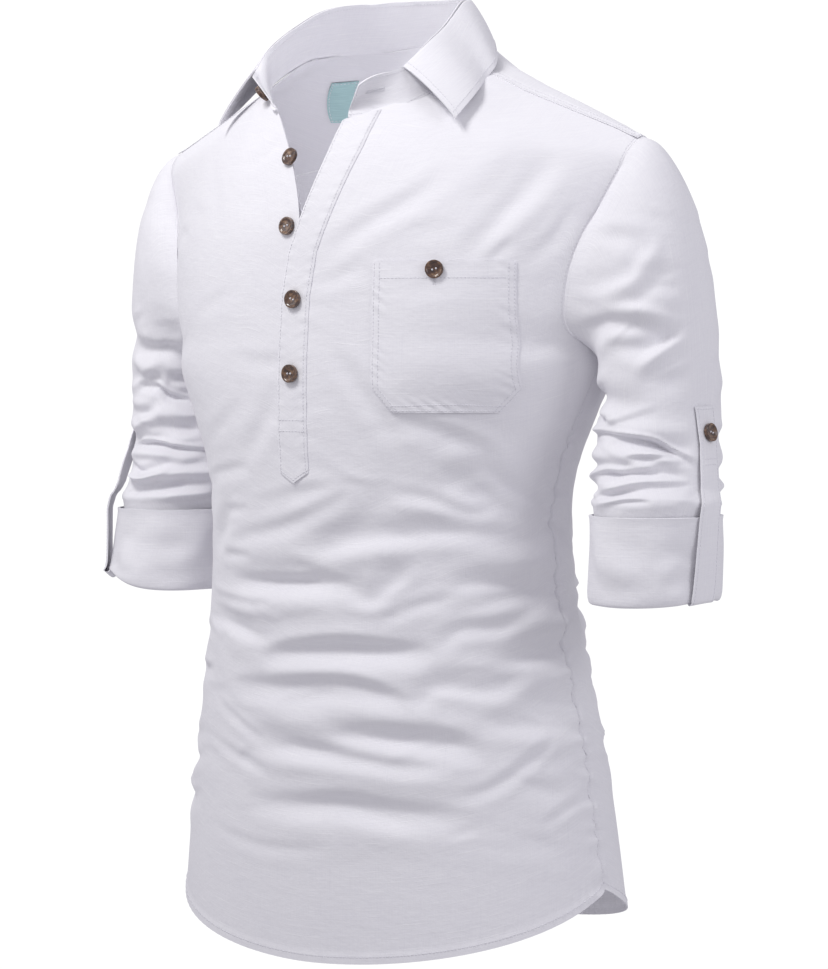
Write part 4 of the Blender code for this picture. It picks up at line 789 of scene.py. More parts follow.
def stand_surface(places, shares):
    """The stand, from the right tab round the back to the left tab."""
    read = smooth_rows(STAND_STATIONS, places)
    foot = read[None, :, 0:3] + np.array([0.0, 0.0, 0.4 * SEAM])
    shares = np.asarray(shares)[:, None, None]
    last = len(STAND_STATIONS) - 1
    near_end = np.clip((np.asarray(places) - TAB_TURN) / (last - TAB_TURN), 0.0, 1.0)
    tall = 1.0 - TAB_ROUND * near_end[None, :, None] ** 3
    points = foot + (read[None, :, 3:6] - foot) * shares * tall
    away = foot - np.array([0.0, -0.010, 0.0])
    away[..., 2] = 0.0
    away /= np.linalg.norm(away, axis=2, keepdims=True)
    drop = np.interp(places, *zip(*STAND_DROP))[None, :, None]
    below = np.clip(-shares, 0.0, 1.0) / STAND_LAP
    points = np.where(shares < 0.0, foot + below * (away * STAND_OUT - drop * UP), points)
    return raise_shoulders(points)


def leaf_surface(places, shares):
    """The leaf: it rises over the stand's top edge and falls outwards to its free edge."""
    read = smooth_rows(COLLAR_STATIONS, places)
    top = read[:, 3:6]
    edge = read[:, 6:9]
    away = edge - top
    away[:, 2] = 0.0
    away /= np.linalg.norm(away, axis=1, keepdims=True)
    start = top + np.array([0.0, 0.0, LEAF_RISE]) + away * LEAF_OUT
    rows = []
    for share in shares:
        bulge = LEAF_ROLL * math.sin(math.pi * min(share, 1.0)) ** 0.6
        rows.append(start + (edge - start) * share + away * bulge
                    + np.array([0.0, 0.0, LEAF_CROWN * math.sin(math.pi * share) ** 0.5]))
    return raise_shoulders(np.stack(rows))


WAIST_CREASES = (scatter_creases(4, 130, (100.0, 305.0), (-0.620, -0.330), BODY_ARM, 1.0)
                 + scatter_creases(5, 60, (-55.0, 100.0), (-0.620, -0.330), BODY_ARM, 0.35))
CHEST_CREASES = scatter_creases(9, 60, (-180.0, 180.0), (-0.330, -0.100), BODY_ARM, 0.22)
SLEEVE_CREASES = {
    side: scatter_creases(20 + side, 46, (0.0, 360.0), (-0.368, -0.285), SLEEVE_ARM, 1.2)
    + scatter_creases(30 + side, 22, (0.0, 360.0), (-0.285, -0.120), SLEEVE_ARM, 0.7)
    for side in (1, -1)}


# ---------------------------------------------------------------- cloth as meshes
def lengths(points, axis):
    """How far each point is along its row or column, in metres, as the cloth was cut."""
    step = np.linalg.norm(np.diff(points, axis=axis), axis=2)
    start = np.zeros_like(np.take(step, [0], axis=axis))
    return np.concatenate([start, np.cumsum(step, axis=axis)], axis=axis)


def flat_cloth(name, points, inside, turned=False):
    """One layer of cloth: a Blender grid moved to the points, with its cut as the UV map."""
    rows, columns = points.shape[:2]
    bm = bmesh.new()
    bmesh.ops.create_grid(bm, x_segments=columns - 1, y_segments=rows - 1, size=1.0)
    mesh = bpy.data.meshes.new(name)
    bm.to_mesh(mesh)
    bm.free()
    flat = np.empty(len(mesh.vertices) * 3)
    mesh.vertices.foreach_get("co", flat)
    flat = flat.reshape(-1, 3)
    column = np.rint((flat[:, 0] + 1.0) / 2.0 * (columns - 1)).astype(int)
    row = np.rint((flat[:, 1] + 1.0) / 2.0 * (rows - 1)).astype(int)
    mesh.vertices.foreach_set("co", points[row, column].ravel())
    cut = np.stack([lengths(points, 1), lengths(points, 0)], axis=-1)
    if turned:
        cut = cut[..., ::-1]
    corner = np.empty(len(mesh.loops), dtype=np.int32)
    mesh.loops.foreach_get("vertex_index", corner)
    layer = mesh.uv_layers.new(name="cut")
    layer.data.foreach_set("uv", cut[row, column][corner].ravel())
    mesh.update()
    vote = 0.0
    for number in range(0, len(mesh.polygons), 7):
        face = mesh.polygons[number]
        vote += face.area * face.normal.dot(face.center - Vector(inside(face.center)))
    if vote < 0:
        mesh.flip_normals()
    return mesh


def cloth_piece(name, layers, wall, look, inside, turned=False):
    """A thin shell of cloth from one or more grids of outer points that meet at their edges."""
    bm = bmesh.new()
    for points in layers:
        layer = flat_cloth(name + "_layer", points, inside, turned)
        bm.from_mesh(layer)
        bpy.data.meshes.remove(layer)
    bmesh.ops.remove_doubles(bm, verts=bm.verts, dist=0.00002)
    mesh = bpy.data.meshes.new(name)
    bm.to_mesh(mesh)
    bm.free()
    mesh.materials.append(look)
    piece = bpy.data.objects.new(name, mesh)
    bpy.context.scene.collection.objects.link(piece)
    thick = piece.modifiers.new("wall", "SOLIDIFY")
    thick.thickness = wall
    thick.offset = -1.0
    thick.use_even_offset = True
    thick.thickness_clamp = 1.0
    choose(piece)
    bpy.ops.object.modifier_apply(modifier=thick.name)
    bpy.ops.object.shade_smooth_by_angle(angle=math.radians(62.0))
    return piece


def choose(piece):
    """Make this the only selected object."""
    if bpy.context.object and bpy.context.object.mode != "OBJECT":
        bpy.ops.object.mode_set(mode="OBJECT")
    bpy.ops.object.select_all(action="DESELECT")
    piece.select_set(True)
    bpy.context.view_layer.objects.active = piece


def belongs(piece, node):
    """Hand a finished piece to the frame: it rides on root and may stand for a CAD node."""
    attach(piece, "root")
    if node:
        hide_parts(node)


def raised(points, outward, lift):
    """Points moved out along the cloth's own normal by the heights in lift."""
    return points + normals(points, np.array(outward)) * lift[..., None]


def body_axis(point):
    """A place inside the body near this point; faces of the panels point away from it."""
    return (0.0, BODY_CENTRE_Y, min(point.z, -0.05) - 0.02)


def arm_axis(side):
    """The same for a sleeve, its cuff and its strap: the middle of the arm."""
    def inside(point):
        place = np.interp(-point.z, [-(row[1] + row[3]) / 2.0 for row in SLEEVE_ROWS],
                          range(len(SLEEVE_ROWS)))
        row = smooth_rows(SLEEVE_ROWS, [place])[0]
        return ((row[0] + row[2]) / 2.0 * side, row[4], (row[1] + row[3]) / 2.0)
    return inside


def yoke_inside(point):
    """A place under the yoke."""
    return (point.x * 0.5, 0.02, -0.20)


def neck_axis(point):
    """The middle of the neck at this level."""
    return (0.0, -0.010, point.z)


def leaf_inside(point):
    """A place under the collar's leaf."""
    return (point.x * 0.4, point.y * 0.4, -0.10)


# ---------------------------------------------------------------- the front as a surface to lie on
def sample(grid, row, column):
    """Read a grid of points between its rows and columns."""
    row = np.clip(row, 0, grid.shape[0] - 1.001)
    column = np.clip(column, 0, grid.shape[1] - 1.001)
    r, c = row.astype(int), column.astype(int)
    fr, fc = (row - r)[..., None], (column - c)[..., None]
    return ((1 - fr) * ((1 - fc) * grid[r, c] + fc * grid[r, c + 1])
            + fr * ((1 - fc) * grid[r + 1, c] + fc * grid[r + 1, c + 1]))


def soften(grid, times):
    """Smooth a grid of points a little, so that what lies on it bridges the finest creases."""
    grid = grid.copy()
    for _ in range(times):
        grid[1:-1] = 0.25 * grid[:-2] + 0.5 * grid[1:-1] + 0.25 * grid[2:]
        grid[:, 1:-1] = 0.25 * grid[:, :-2] + 0.5 * grid[:, 1:-1] + 0.25 * grid[:, 2:]
    return grid


SEARCH_STEPS = 24
SEARCH_COLUMN = 18.0        # the search for a place on the front starts at this column
SEARCH_REACH = 6            # and moves at most this many rows and columns at a step


def on_front(side, xs, zs, lift):
    """Points of the front at the places x, z, moved out along its normal by lift, and normals."""
    grid = FRONT[side]
    facing = normals(grid, np.array([0.0, -1.0, 0.0]))
    level = grid[:, 0, 2]
    row = np.interp(zs, level, np.arange(len(level)))
    column = np.full(xs.shape, SEARCH_COLUMN)
    for _ in range(SEARCH_STEPS):
        here = sample(grid, row, column)
        by_row = sample(grid, row + 0.5, column) - sample(grid, row - 0.5, column)
        by_column = sample(grid, row, column + 0.5) - sample(grid, row, column - 0.5)
        miss_x, miss_z = xs - here[..., 0], zs - here[..., 2]
        size = by_row[..., 0] * by_column[..., 2] - by_column[..., 0] * by_row[..., 2]
        size = np.where(np.abs(size) < 1e-10, 1e-10, size)
        by_rows = (miss_x * by_column[..., 2] - by_column[..., 0] * miss_z) / size
        by_columns = (by_row[..., 0] * miss_z - miss_x * by_row[..., 2]) / size
        row = row + np.clip(by_rows, -SEARCH_REACH, SEARCH_REACH)
        column = column + np.clip(by_columns, -SEARCH_REACH, SEARCH_REACH)
        row = np.clip(row, 0, grid.shape[0] - 1.001)
        column = np.clip(column, 0, grid.shape[1] - 1.001)
    out = sample(facing, row, column)
    out /= np.linalg.norm(out, axis=-1, keepdims=True)
    return sample(grid, row, column) + out * np.asarray(lift)[..., None], out


# ---------------------------------------------------------------- stitches
STITCHES = []               # (place, way, outward) of every stitch, in metres


def stitch_line(path, outward):
    """Lay stitches along a path of points; outward is the cloth's normal at each point."""
    path = np.asarray(path)
    outward = np.broadcast_to(np.asarray(outward, dtype=float), path.shape)
    step = np.linalg.norm(np.diff(path, axis=0), axis=1)
    along = np.concatenate([[0.0], np.cumsum(step)])
    count = max(int(along[-1] / STITCH_PITCH), 1)
    at = (np.arange(count) + 0.5) * along[-1] / count
    place = np.stack([np.interp(at, along, path[:, axis]) for axis in range(3)], axis=-1)
    ahead = np.stack([np.interp(at + STITCH_AIM, along, path[:, axis]) for axis in range(3)], axis=-1)
    behind = np.stack([np.interp(at - STITCH_AIM, along, path[:, axis]) for axis in range(3)], axis=-1)
    out = np.stack([np.interp(at, along, outward[:, axis]) for axis in range(3)], axis=-1)
    out /= np.linalg.norm(out, axis=1, keepdims=True)
    way = ahead - behind
    way /= np.linalg.norm(way, axis=1, keepdims=True) + 1e-12
    for middle, forward, up in zip(place + out * STITCH_LIFT, way, out):
        STITCHES.append((middle, forward, up))


def rows_line(points, row, outward):
    """The path along one row of a grid, at a fractional row number, and its normals."""
    facing = normals(points, np.array(outward))
    low = int(row)
    share = row - low
    high = min(low + 1, points.shape[0] - 1)
    return ((1 - share) * points[low] + share * points[high],
            (1 - share) * facing[low] + share * facing[high])


def edge_line(points, side, inset, outward):
    """The path this far inside one edge of a grid: first, last, bottom or top."""
    facing = normals(points, np.array(outward))
    if side in ("first", "last"):
        points, facing = points.swapaxes(0, 1), facing.swapaxes(0, 1)
    if side in ("last", "top"):
        points, facing = points[::-1], facing[::-1]
    depth = lengths(points, 0)
    path = np.stack([[np.interp(inset, depth[:, k], points[:, k, axis]) for axis in range(3)]
                     for k in range(points.shape[1])])
    out = np.stack([[np.interp(inset, depth[:, k], facing[:, k, axis]) for axis in range(3)]
                    for k in range(points.shape[1])])
    return path, out


def stitch_pieces(look):
    """Every stitch as a short bead of thread, joined into one piece."""
    sides, profile = STITCH_SIDES, STITCH_PROFILE
    turn = np.arange(sides) / sides * 2.0 * math.pi
    verts, faces = [], []
    for middle, forward, up in STITCHES:
        across = np.cross(forward, up)
        across /= np.linalg.norm(across)
        up = np.cross(across, forward)
        start = len(verts)
        for share, size in profile:
            ring = (middle + forward * share * STITCH_PITCH * STITCH_SHARE
                    + (np.cos(turn)[:, None] * across + STITCH_FLAT * np.sin(turn)[:, None] * up)
                    * THREAD * size)
            verts.extend(ring.tolist())
        for k in range(len(profile) - 1):
            for j in range(sides):
                a = start + k * sides + j
                b = start + k * sides + (j + 1) % sides
                faces.append((a, b, b + sides, a + sides))
        faces.append(tuple(start + j for j in range(sides - 1, -1, -1)))
        faces.append(tuple(start + (len(profile) - 1) * sides + j for j in range(sides)))
    mesh = bpy.data.meshes.new("stitches")
    mesh.from_pydata(verts, [], faces)
    mesh.shade_smooth()
    mesh.materials.append(look)
    piece = bpy.data.objects.new("stitches", mesh)
    bpy.context.scene.collection.objects.link(piece)
    belongs(piece, None)
    return piece


# ---------------------------------------------------------------- materials
class Wire:
    """A socket, or a number, that adds Math nodes when it is calculated with."""

    def __init__(self, look, socket):
        self.look = look
        self.socket = socket

    def _math(self, operation, *values):
        made = self.look.node("ShaderNodeMath", {"operation": operation},
                              {index: value for index, value in enumerate(values)})
        return made.out(0)

    def __add__(self, other):
        return self._math("ADD", self, other)

    __radd__ = __add__

    def __sub__(self, other):
        return self._math("SUBTRACT", self, other)

    def __mul__(self, other):
        return self._math("MULTIPLY", self, other)


class Node:
    """A shader node whose outputs can be calculated with."""

    def __init__(self, look, node):
        self.look = look
        self.node = node

    def out(self, name):
        return Wire(self.look, self.node.outputs[name])


class Look:
    """A material with one Principled shader, its constants set on its own sockets."""

    def __init__(self, name, **constants):
        self.material = bpy.data.materials.new(name)
        self.material.use_nodes = True
        self.tree = self.material.node_tree
        self.shader = self.tree.nodes["Principled BSDF"]
        self.set(self.shader, {name.replace("_", " "): value for name, value in constants.items()})

    def set(self, node, values):
        """Link or set a node's inputs by name or number."""
        for name, value in values.items():
            if isinstance(value, Wire):
                self.tree.links.new(value.socket, node.inputs[name])
            elif isinstance(value, tuple) and len(value) == 3 and node.inputs[name].type == "RGBA":
                node.inputs[name].default_value = (*value, 1.0)
            else:
                node.inputs[name].default_value = value

    def node(self, kind, settings=None, values=None):
        """Add a node of this kind with its settings and inputs."""
        made = self.tree.nodes.new(kind)
        for name, value in (settings or {}).items():
            if name == "stops":
                ramp = made.color_ramp
                while len(ramp.elements) < len(value):
                    ramp.elements.new(0.5)
                for element, (position, colour) in zip(ramp.elements, value):
                    element.position = position
                    element.color = (*colour, 1.0)
            else:
                setattr(made, name, value)
        self.set(made, values or {})
        return Node(self, made)

    def stretched(self, vector, scale, detail=2.0, roughness=0.5, size=1.0, offset=(0, 0, 0)):
        """Noise whose grain is stretched by the three scales."""
        placed = self.node("ShaderNodeMapping", {}, {"Vector": vector, "Scale": scale,
                                                     "Location": offset})
        noise = self.node("ShaderNodeTexNoise", {"noise_dimensions": "3D"},
                          {"Vector": placed.out("Vector"), "Scale": size, "Detail": detail,
                           "Roughness": roughness})
        return noise.out("Fac")

    def ramp(self, value, low, high):
        """0 below low, 1 above high, smooth between."""
        made = self.node("ShaderNodeMapRange", {"interpolation_type": "SMOOTHSTEP"},
                         {"Value": value, "From Min": low, "From Max": high})
        return made.out("Result")

    def mix(self, share, one, other):
        """A colour between two others."""
        made = self.node("ShaderNodeMix", {"data_type": "RGBA"}, {})
        self.set_mix(made.node, share, one, other)
        return Wire(self, made.node.outputs[2])

    def set_mix(self, node, share, one, other):
        for index, value in ((0, share), (6, one), (7, other)):
            if isinstance(value, Wire):
                self.tree.links.new(value.socket, node.inputs[index])
            elif isinstance(value, tuple):
                node.inputs[index].default_value = (*value, 1.0)
            else:
                node.inputs[index].default_value = value

    def bump(self, height, distance, strength=1.0, below=None):
        values = {"Height": height, "Distance": distance, "Strength": strength}
        if below is not None:
            values["Normal"] = below
        return self.node("ShaderNodeBump", {}, values).out("Normal")

    def finish(self, **links):
        """Link or set the shader's sockets and hand over the material."""
        self.set(self.shader, {name.replace("_", " "): value for name, value in links.items()})
        return self.material


# Grain of the cloth, in noise cells a metre across and along the cut.
WEFT_GRAIN = (38.0, 1250.0, 1.0)
WARP_GRAIN = (1250.0, 38.0, 1.0)
SLUB_GRAIN = (26.0, 620.0, 1.0)
LONG_SLUB_GRAIN = (620.0, 15.0, 1.0)
CLOUD_GRAIN = (14.0, 14.0, 14.0)
RUMPLE_GRAIN = (70.0, 70.0, 110.0)
RUMPLE_DEPTH = 0.0011
THREAD_DEPTH = 0.00022
LINEN_LIGHT = (0.86, 0.855, 0.875)
LINEN_SHADE = (0.745, 0.735, 0.785)


def slub_cloth(name, light, shade):
    """White cotton and linen in a plain weave: uneven weft threads with slubs, faint rumples."""
    look = Look(name, Metallic=0.0, Sheen_Weight=0.12, Sheen_Roughness=0.5,
                Specular_IOR_Level=0.25)
    cut = look.node("ShaderNodeUVMap", {"uv_map": "cut"}).out("UV")
    around = look.node("ShaderNodeTexCoord").out("Object")
    weft = look.stretched(cut, WEFT_GRAIN, 2.0, 0.6)
    warp = look.stretched(cut, WARP_GRAIN, 2.0, 0.6)
    slub = look.stretched(cut, SLUB_GRAIN, 1.0, 0.5, 1.0, (3.1, 0.7, 0.0))
    slub = look.ramp(slub, 0.60, 0.74)
    long_slub = look.stretched(cut, LONG_SLUB_GRAIN, 1.0, 0.5, 1.0, (0.4, 5.3, 0.0))
    long_slub = look.ramp(long_slub, 0.66, 0.78)
    cloud = look.stretched(around, CLOUD_GRAIN, 3.0, 0.55)
    rumple = look.stretched(around, RUMPLE_GRAIN, 3.0, 0.6)
    thread = weft * 0.6 + warp * 0.4
    tone = 0.52 + (cloud - 0.5) * 0.35 + (thread - 0.5) * 1.35 + slub * 0.22 - long_slub * 0.15
    colour = look.mix(tone, shade, light)
    height = thread * 0.7 + slub * 0.26 + long_slub * 0.18
    normal = look.bump(rumple, RUMPLE_DEPTH, 0.55)
    normal = look.bump(height, THREAD_DEPTH, 0.8, normal)
    rough = 0.78 + (thread - 0.5) * 0.25
    return look.finish(Base_Color=colour, Roughness=rough, Normal=normal)


def thread_look():
    """White twisted thread, with painted shade in the furrows of its bump."""
    look = Look("white sewing thread", Metallic=0.0, Sheen_Weight=0.1)
    around = look.node("ShaderNodeTexCoord").out("Object")
    twist = look.stretched(around, (2600.0, 2600.0, 2600.0), 1.0)
    # The darker of the two colours is painted shade: it follows the same noise as the bump, so the
    # bump's furrows are darkest.
    return look.finish(Base_Color=look.mix(twist, (0.66, 0.655, 0.70), (0.84, 0.835, 0.87)),
                       Roughness=0.55 + twist * 0.2,
                       Normal=look.bump(twist, 0.0001, 0.4))


def label_look():
    """Smooth woven tape, pale teal, with fine ribs across."""
    look = Look("pale teal woven tape", Metallic=0.0, Sheen_Weight=0.2)
    cut = look.node("ShaderNodeUVMap", {"uv_map": "cut"}).out("UV")
    ribs = look.stretched(cut, (60.0, 2400.0, 1.0), 1.0)
    tone = look.ramp(ribs, 0.3, 0.7)
    return look.finish(Base_Color=look.mix(tone, (0.36, 0.56, 0.57), (0.45, 0.66, 0.66)),
                       Roughness=0.5 + ribs * 0.15, Normal=look.bump(ribs, 0.0002, 0.5))


HORN_COLOURS = (
    # place on the ramp and colour, darkest first
    (0.30, (0.018, 0.009, 0.006)), (0.46, (0.055, 0.024, 0.014)),
    (0.57, (0.16, 0.085, 0.045)), (0.68, (0.36, 0.23, 0.13)),
)


def horn_look():
    """Polished dark horn, brown with tan streaks."""
    look = Look("polished dark horn", Metallic=0.0, Coat_Weight=0.6, Coat_Roughness=0.12,
                IOR=1.54)
    around = look.node("ShaderNodeTexCoord").out("Object")
    cloud = look.stretched(around, (230.0, 230.0, 330.0), 3.0, 0.6)
    streak = look.stretched(around, (520.0, 190.0, 700.0), 4.0, 0.65)
    colour = look.node("ShaderNodeValToRGB", {"stops": HORN_COLOURS},
                       {"Fac": cloud * 0.55 + streak * 0.45}).out("Color")
    return look.finish(Base_Color=colour, Roughness=0.26 + streak * 0.18,
                       Normal=look.bump(streak, 0.00012, 0.4))


# ---------------------------------------------------------------- the pieces
OUT_FRONT = (0.0, -1.0, 0.0)
OUT_BACK = (0.0, 1.0, 0.0)
OUT_UP = (0.0, 0.0, 1.0)
FRONT = {}
FRONT_SHARES = np.linspace(-0.16, 1.0, 120)     # past the centre front, for what laps over it

# How fine the meshes are.
FRONT_GRID = (98, 150, 84)  # columns of a half, rows up to the slit's foot, rows above it
BACK_GRID = (84, 205)       # columns of a half, rows
YOKE_GRID = (44, 11)        # rows from the neck out, columns between two of the table's
SLEEVE_COLUMNS = 169
CUFF_COLUMNS = 121
STRAP_ROWS = 110
STRAP_COLUMNS = 13
HEM_PLACES = (0.0, 0.03, 0.06, 0.085, 0.105, 0.13)      # close rows at the hem
HEM_PLACES_END = 0.16
SEAM_SHARES = (0.979, 0.985, 0.990, 0.994, 0.9975, 1.0)     # close columns at the side seam
SEAM_SHARES_START = 0.972

HEM_RISE = 0.0006           # the turned-up hem stands this much out of the panel
HEM_SOFT = 0.0016
HEM_PUCKER = 0.00035
HEM_PUCKER_PITCH = 0.0085
HEM_PUCKER_REACH = 0.007
SEAM_RISE = 0.0006          # the yoke stands this much higher over its turned-in edges
SEAM_SOFT = 0.0014
YOKE_TURN_IN = (0.0060, 0.0055)     # width of the turned-in edges, in front and at the back
STITCH_TO_HEM = 0.001       # from the hem's upper fold to its stitches
SIDE_STITCH_ROW = 40        # the side seams are top-stitched from this row up


def step_down(distance, width, soft):
    """1 inside width, 0 past width + soft, smooth between."""
    t = np.clip((width + soft - distance) / soft, 0.0, 1.0)
    return t * t * (3.0 - 2.0 * t)


def with_hem(points, outward):
    """Thicken the narrow hem along a panel's first row, with small puckers above it."""
    up = lengths(points, 0)
    along = lengths(points, 1)[0][None, :]
    lift = HEM_RISE * step_down(up, HEM_WIDTH, HEM_SOFT)
    ripple = np.sin(along / HEM_PUCKER_PITCH * 2.0 * math.pi + 2.0 * np.sin(along / 0.05))
    lift += HEM_PUCKER * ripple * np.exp(-((up - HEM_WIDTH) / HEM_PUCKER_REACH) ** 2)
    return raised(points, outward, lift)


def seam_shares(count):
    """Shares of a half panel, from its middle out, with closer columns at the side seam."""
    return np.concatenate([np.linspace(0.0, SEAM_SHARES_START, count), SEAM_SHARES])


def hem_rows(places):
    """Row numbers with extra rows at the hem."""
    return np.concatenate([HEM_PLACES, places[places > HEM_PLACES_END]])


def front_panel(look):
    """Both halves of the front, from the hem to the neckline and the yoke, as one piece."""
    columns, lower, upper = FRONT_GRID
    u = seam_shares(columns)
    halves = []
    for side in (1, -1):
        places = hem_rows(front_places(side, lower, upper))
        points = front_surface(side, places, u)
        FRONT[side] = soften(front_surface(side, places, FRONT_SHARES), 2)
        points = with_hem(points, OUT_FRONT)
        stitch_line(*edge_line(points, "bottom", HEM_WIDTH - STITCH_TO_HEM, OUT_FRONT))
        stitch_line(*edge_line(points[SIDE_STITCH_ROW:], "last", EDGE_STITCH,
                               (side * 0.6, -0.8, 0.0)))
        halves.append(draw_in(points, ("last", "top")))
    piece = cloth_piece("front_cloth", halves, CLOTH, look, body_axis)
    belongs(piece, "front_panel")


def back_panel(look):
    """The back below the yoke, as two mirrored halves in one piece."""
    columns, rows = BACK_GRID
    places = hem_rows(even_places(BACK_ROWS, 0, len(BACK_ROWS) - 1, rows))
    half = panel(BACK_ROWS, places, seam_shares(columns))
    halves = []
    for side in (1, -1):
        points = body_folds(raise_shoulders(half if side > 0 else mirrored(half)))
        points = with_hem(points, OUT_BACK)
        stitch_line(*edge_line(points, "bottom", HEM_WIDTH - STITCH_TO_HEM, OUT_BACK))
        halves.append(draw_in(points, ("last", "top")))
    piece = cloth_piece("back_cloth", halves, CLOTH, look, body_axis)
    belongs(piece, "back_panel")


def yoke(look):
    """The yoke over both shoulders, with double rows of stitches at its seams."""
    rows, between = YOKE_GRID
    shares = np.linspace(0.0, 1.0, rows)
    halves = [yoke_surface(side, yoke_places(between), shares) for side in (1, -1)]
    whole = np.concatenate([halves[0], halves[1][:, -2::-1]], axis=1)
    front_turn_in, back_turn_in = YOKE_TURN_IN
    across = lengths(whole, 1)
    lift = SEAM_RISE * step_down(across, front_turn_in, SEAM_SOFT)
    lift += SEAM_RISE * step_down(across[:, -1:] - across, front_turn_in, SEAM_SOFT)
    lift += SEAM_RISE * step_down(lengths(whole, 0)[-1:] - lengths(whole, 0), back_turn_in,
                                  SEAM_SOFT)
    whole = raised(whole, OUT_UP, lift)
    for side, insets in YOKE_STITCHES.items():
        for inset in insets:
            stitch_line(*edge_line(whole, side, inset, OUT_UP))
    whole = draw_in(whole, ("first", "last", "bottom", "top"))
    piece = cloth_piece("yoke_cloth", [whole], CLOTH, look, yoke_inside)
    belongs(piece, "yoke")


def sleeve(side, word, look):
    """A sleeve, with close rows where it bunches above the cuff."""
    places = np.concatenate([np.linspace(0, 5, 96), np.linspace(5, 9, 118)[1:],
                             [9.25, 9.5, 10, 11]])
    angles = np.linspace(0.0, 360.0, SLEEVE_COLUMNS)
    points = sleeve_surface(side, places, angles)
    stitch_line(*edge_line(points[:12], "bottom", EDGE_STITCH, (side, 0.0, 0.3)))
    points = draw_in(points, ("bottom",))
    name = "sleeve_" + word
    piece = cloth_piece(name + "_cloth", [points], CLOTH, look, arm_axis(side), True)
    belongs(piece, name)


CUFF_ROLL = 0.011           # height of the rolled foot of the cuff
CUFF_TUCK = 0.0034          # how far the foot is rolled in
CUFF_LIP = 0.0007           # the cuff's top edge stands out by this much
CUFF_LIP_HEIGHT = 0.0022
CUFF_DENTS = (0.0012, 0.0009)       # depth of the three wide dents and of the seven narrow ones


def cuff(side, word, look):
    """A turned-up cuff: a rolled band with its foot tucked in and its top edge open."""
    angles = np.linspace(0.0, 360.0, CUFF_COLUMNS)
    roll_top = CUFF_FOOT + CUFF_ROLL
    levels = np.concatenate([np.linspace(CUFF_TOP, roll_top, 18),
                             CUFF_FOOT + CUFF_ROLL * (1.0 - np.linspace(0.0, 1.0, 9)[1:] ** 0.7)])
    turn = np.radians(angles)
    wide, narrow = CUFF_DENTS
    rings = []
    for level in levels:
        near_foot = np.clip((roll_top - level) / CUFF_ROLL, 0.0, 1.0)
        out = -CUFF_TUCK * (1.0 - math.sqrt(max(1.0 - near_foot ** 2, 0.0)))
        down = (CUFF_TOP - level) / (CUFF_TOP - CUFF_FOOT)
        dents = (wide * np.sin(3.0 * turn + 1.1 + 2.4 * down + side)
                 + narrow * np.sin(7.0 * turn + 3.0 * down + 0.6))
        dents += fold_lines(from_behind(angles), np.full(angles.shape, level), CUFF_LINES[side],
                            SLEEVE_ARM)
        lip = CUFF_LIP * math.exp(-((CUFF_TOP - level) / CUFF_LIP_HEIGHT) ** 2)
        rings.append(round_arm(side, angles, out + lip + dents * min(down * 3.0, 1.0), level))
    points = np.stack(rings)
    name = "cuff_" + word
    piece = cloth_piece(name + "_cloth", [points], LAYERS, look, arm_axis(side))
    belongs(piece, name)


STRAP_STITCH_ROW = 34       # up to this row, round the cuff's foot, its edges show no stitches
SEAT_REACH = 0.005          # a button's seat is read this far round its middle


def strap(side, word, look):
    """A roll-up strap, with two rows of stitches across it beside its button."""
    last = len(STRAP_PATHS[side]) - 1
    across = np.linspace(-0.5, 0.5, STRAP_COLUMNS) * STRAP_WIDTH
    points = strap_surface(side, np.linspace(0, last, STRAP_ROWS), across)
    out = (side, 0.0, 0.0)
    for edge in ("first", "last", "top"):
        stitch_line(*edge_line(points[STRAP_STITCH_ROW:], edge, EDGE_STITCH, out))
    _, outward = strap_place(side)
    row = int(STRAP_ROWS * (STRAP_BUTTON_PLACE - 1.1) / last)
    for way in (-1, 1):
        line = points[row + way][2:-2]
        stitch_line(line, np.broadcast_to(outward, line.shape))
    name = "strap_" + word
    piece = cloth_piece(name + "_cloth", [points], CLOTH, look, arm_axis(side), True)
    belongs(piece, name)


def strap_place(side):
    """Where the strap's button sits, and its outward normal."""
    reach = np.array([-SEAT_REACH, 0.0, SEAT_REACH])
    rows = STRAP_BUTTON_PLACE + np.array([-0.2, 0.0, 0.2])
    patch = strap_surface(side, rows, reach)
    return seat(patch, (side, 0.0, 0.0))


STRIP_END = 0.020           # length of the point at the foot and of the sloping head
STRIP_PUCKER = 0.0003
STRIP_PUCKER_PITCH = 0.0095


def upper_strip(look):
    """The buttonhole strip, with its pointed end and its box stitches."""
    levels = np.linspace(STRIP_FOOT, STRIP_HEAD, 120)
    shares = np.linspace(0.0, 1.0, 15)
    xs = placket_rows(levels, 1, shares, 1.0)
    zs = np.repeat(levels[:, None], len(shares), axis=1)
    fall = np.clip(1.0 - (levels - levels[0]) / STRIP_END, 0.0, 1.0)
    zs -= STRIP_POINT * fall[:, None] * (1.0 - np.abs(2.0 * shares - 1.0))
    rise = np.clip(1.0 - (levels[-1] - levels) / STRIP_END, 0.0, 1.0)
    zs += STRIP_HEAD_SLOPE * rise[:, None] * shares
    edge = np.minimum(shares, 1.0 - shares) * STRIP_WIDTH
    ripple = STRIP_PUCKER * np.sin(levels / STRIP_PUCKER_PITCH * 2.0 * math.pi)[:, None]
    ripple = ripple * np.exp(-((edge - 0.004) / 0.003) ** 2)
    press = PRESSED * np.exp(-(edge / 0.0016) ** 2)
    points, _ = on_front(1, xs, zs, LAP + CLOTH + ripple - press)
    for side in ("first", "last", "bottom"):
        stitch_line(*edge_line(points, side, STRIP_STITCH, OUT_FRONT))
    for level in BOX_STITCHES:
        row = np.interp(level, levels, np.arange(len(levels)))
        path, facing = rows_line(points, row, OUT_FRONT)
        stitch_line(path[1:-1], facing[1:-1])
    piece = cloth_piece("placket_over_cloth", [points], CLOTH, look, body_axis)
    belongs(piece, "placket_over")


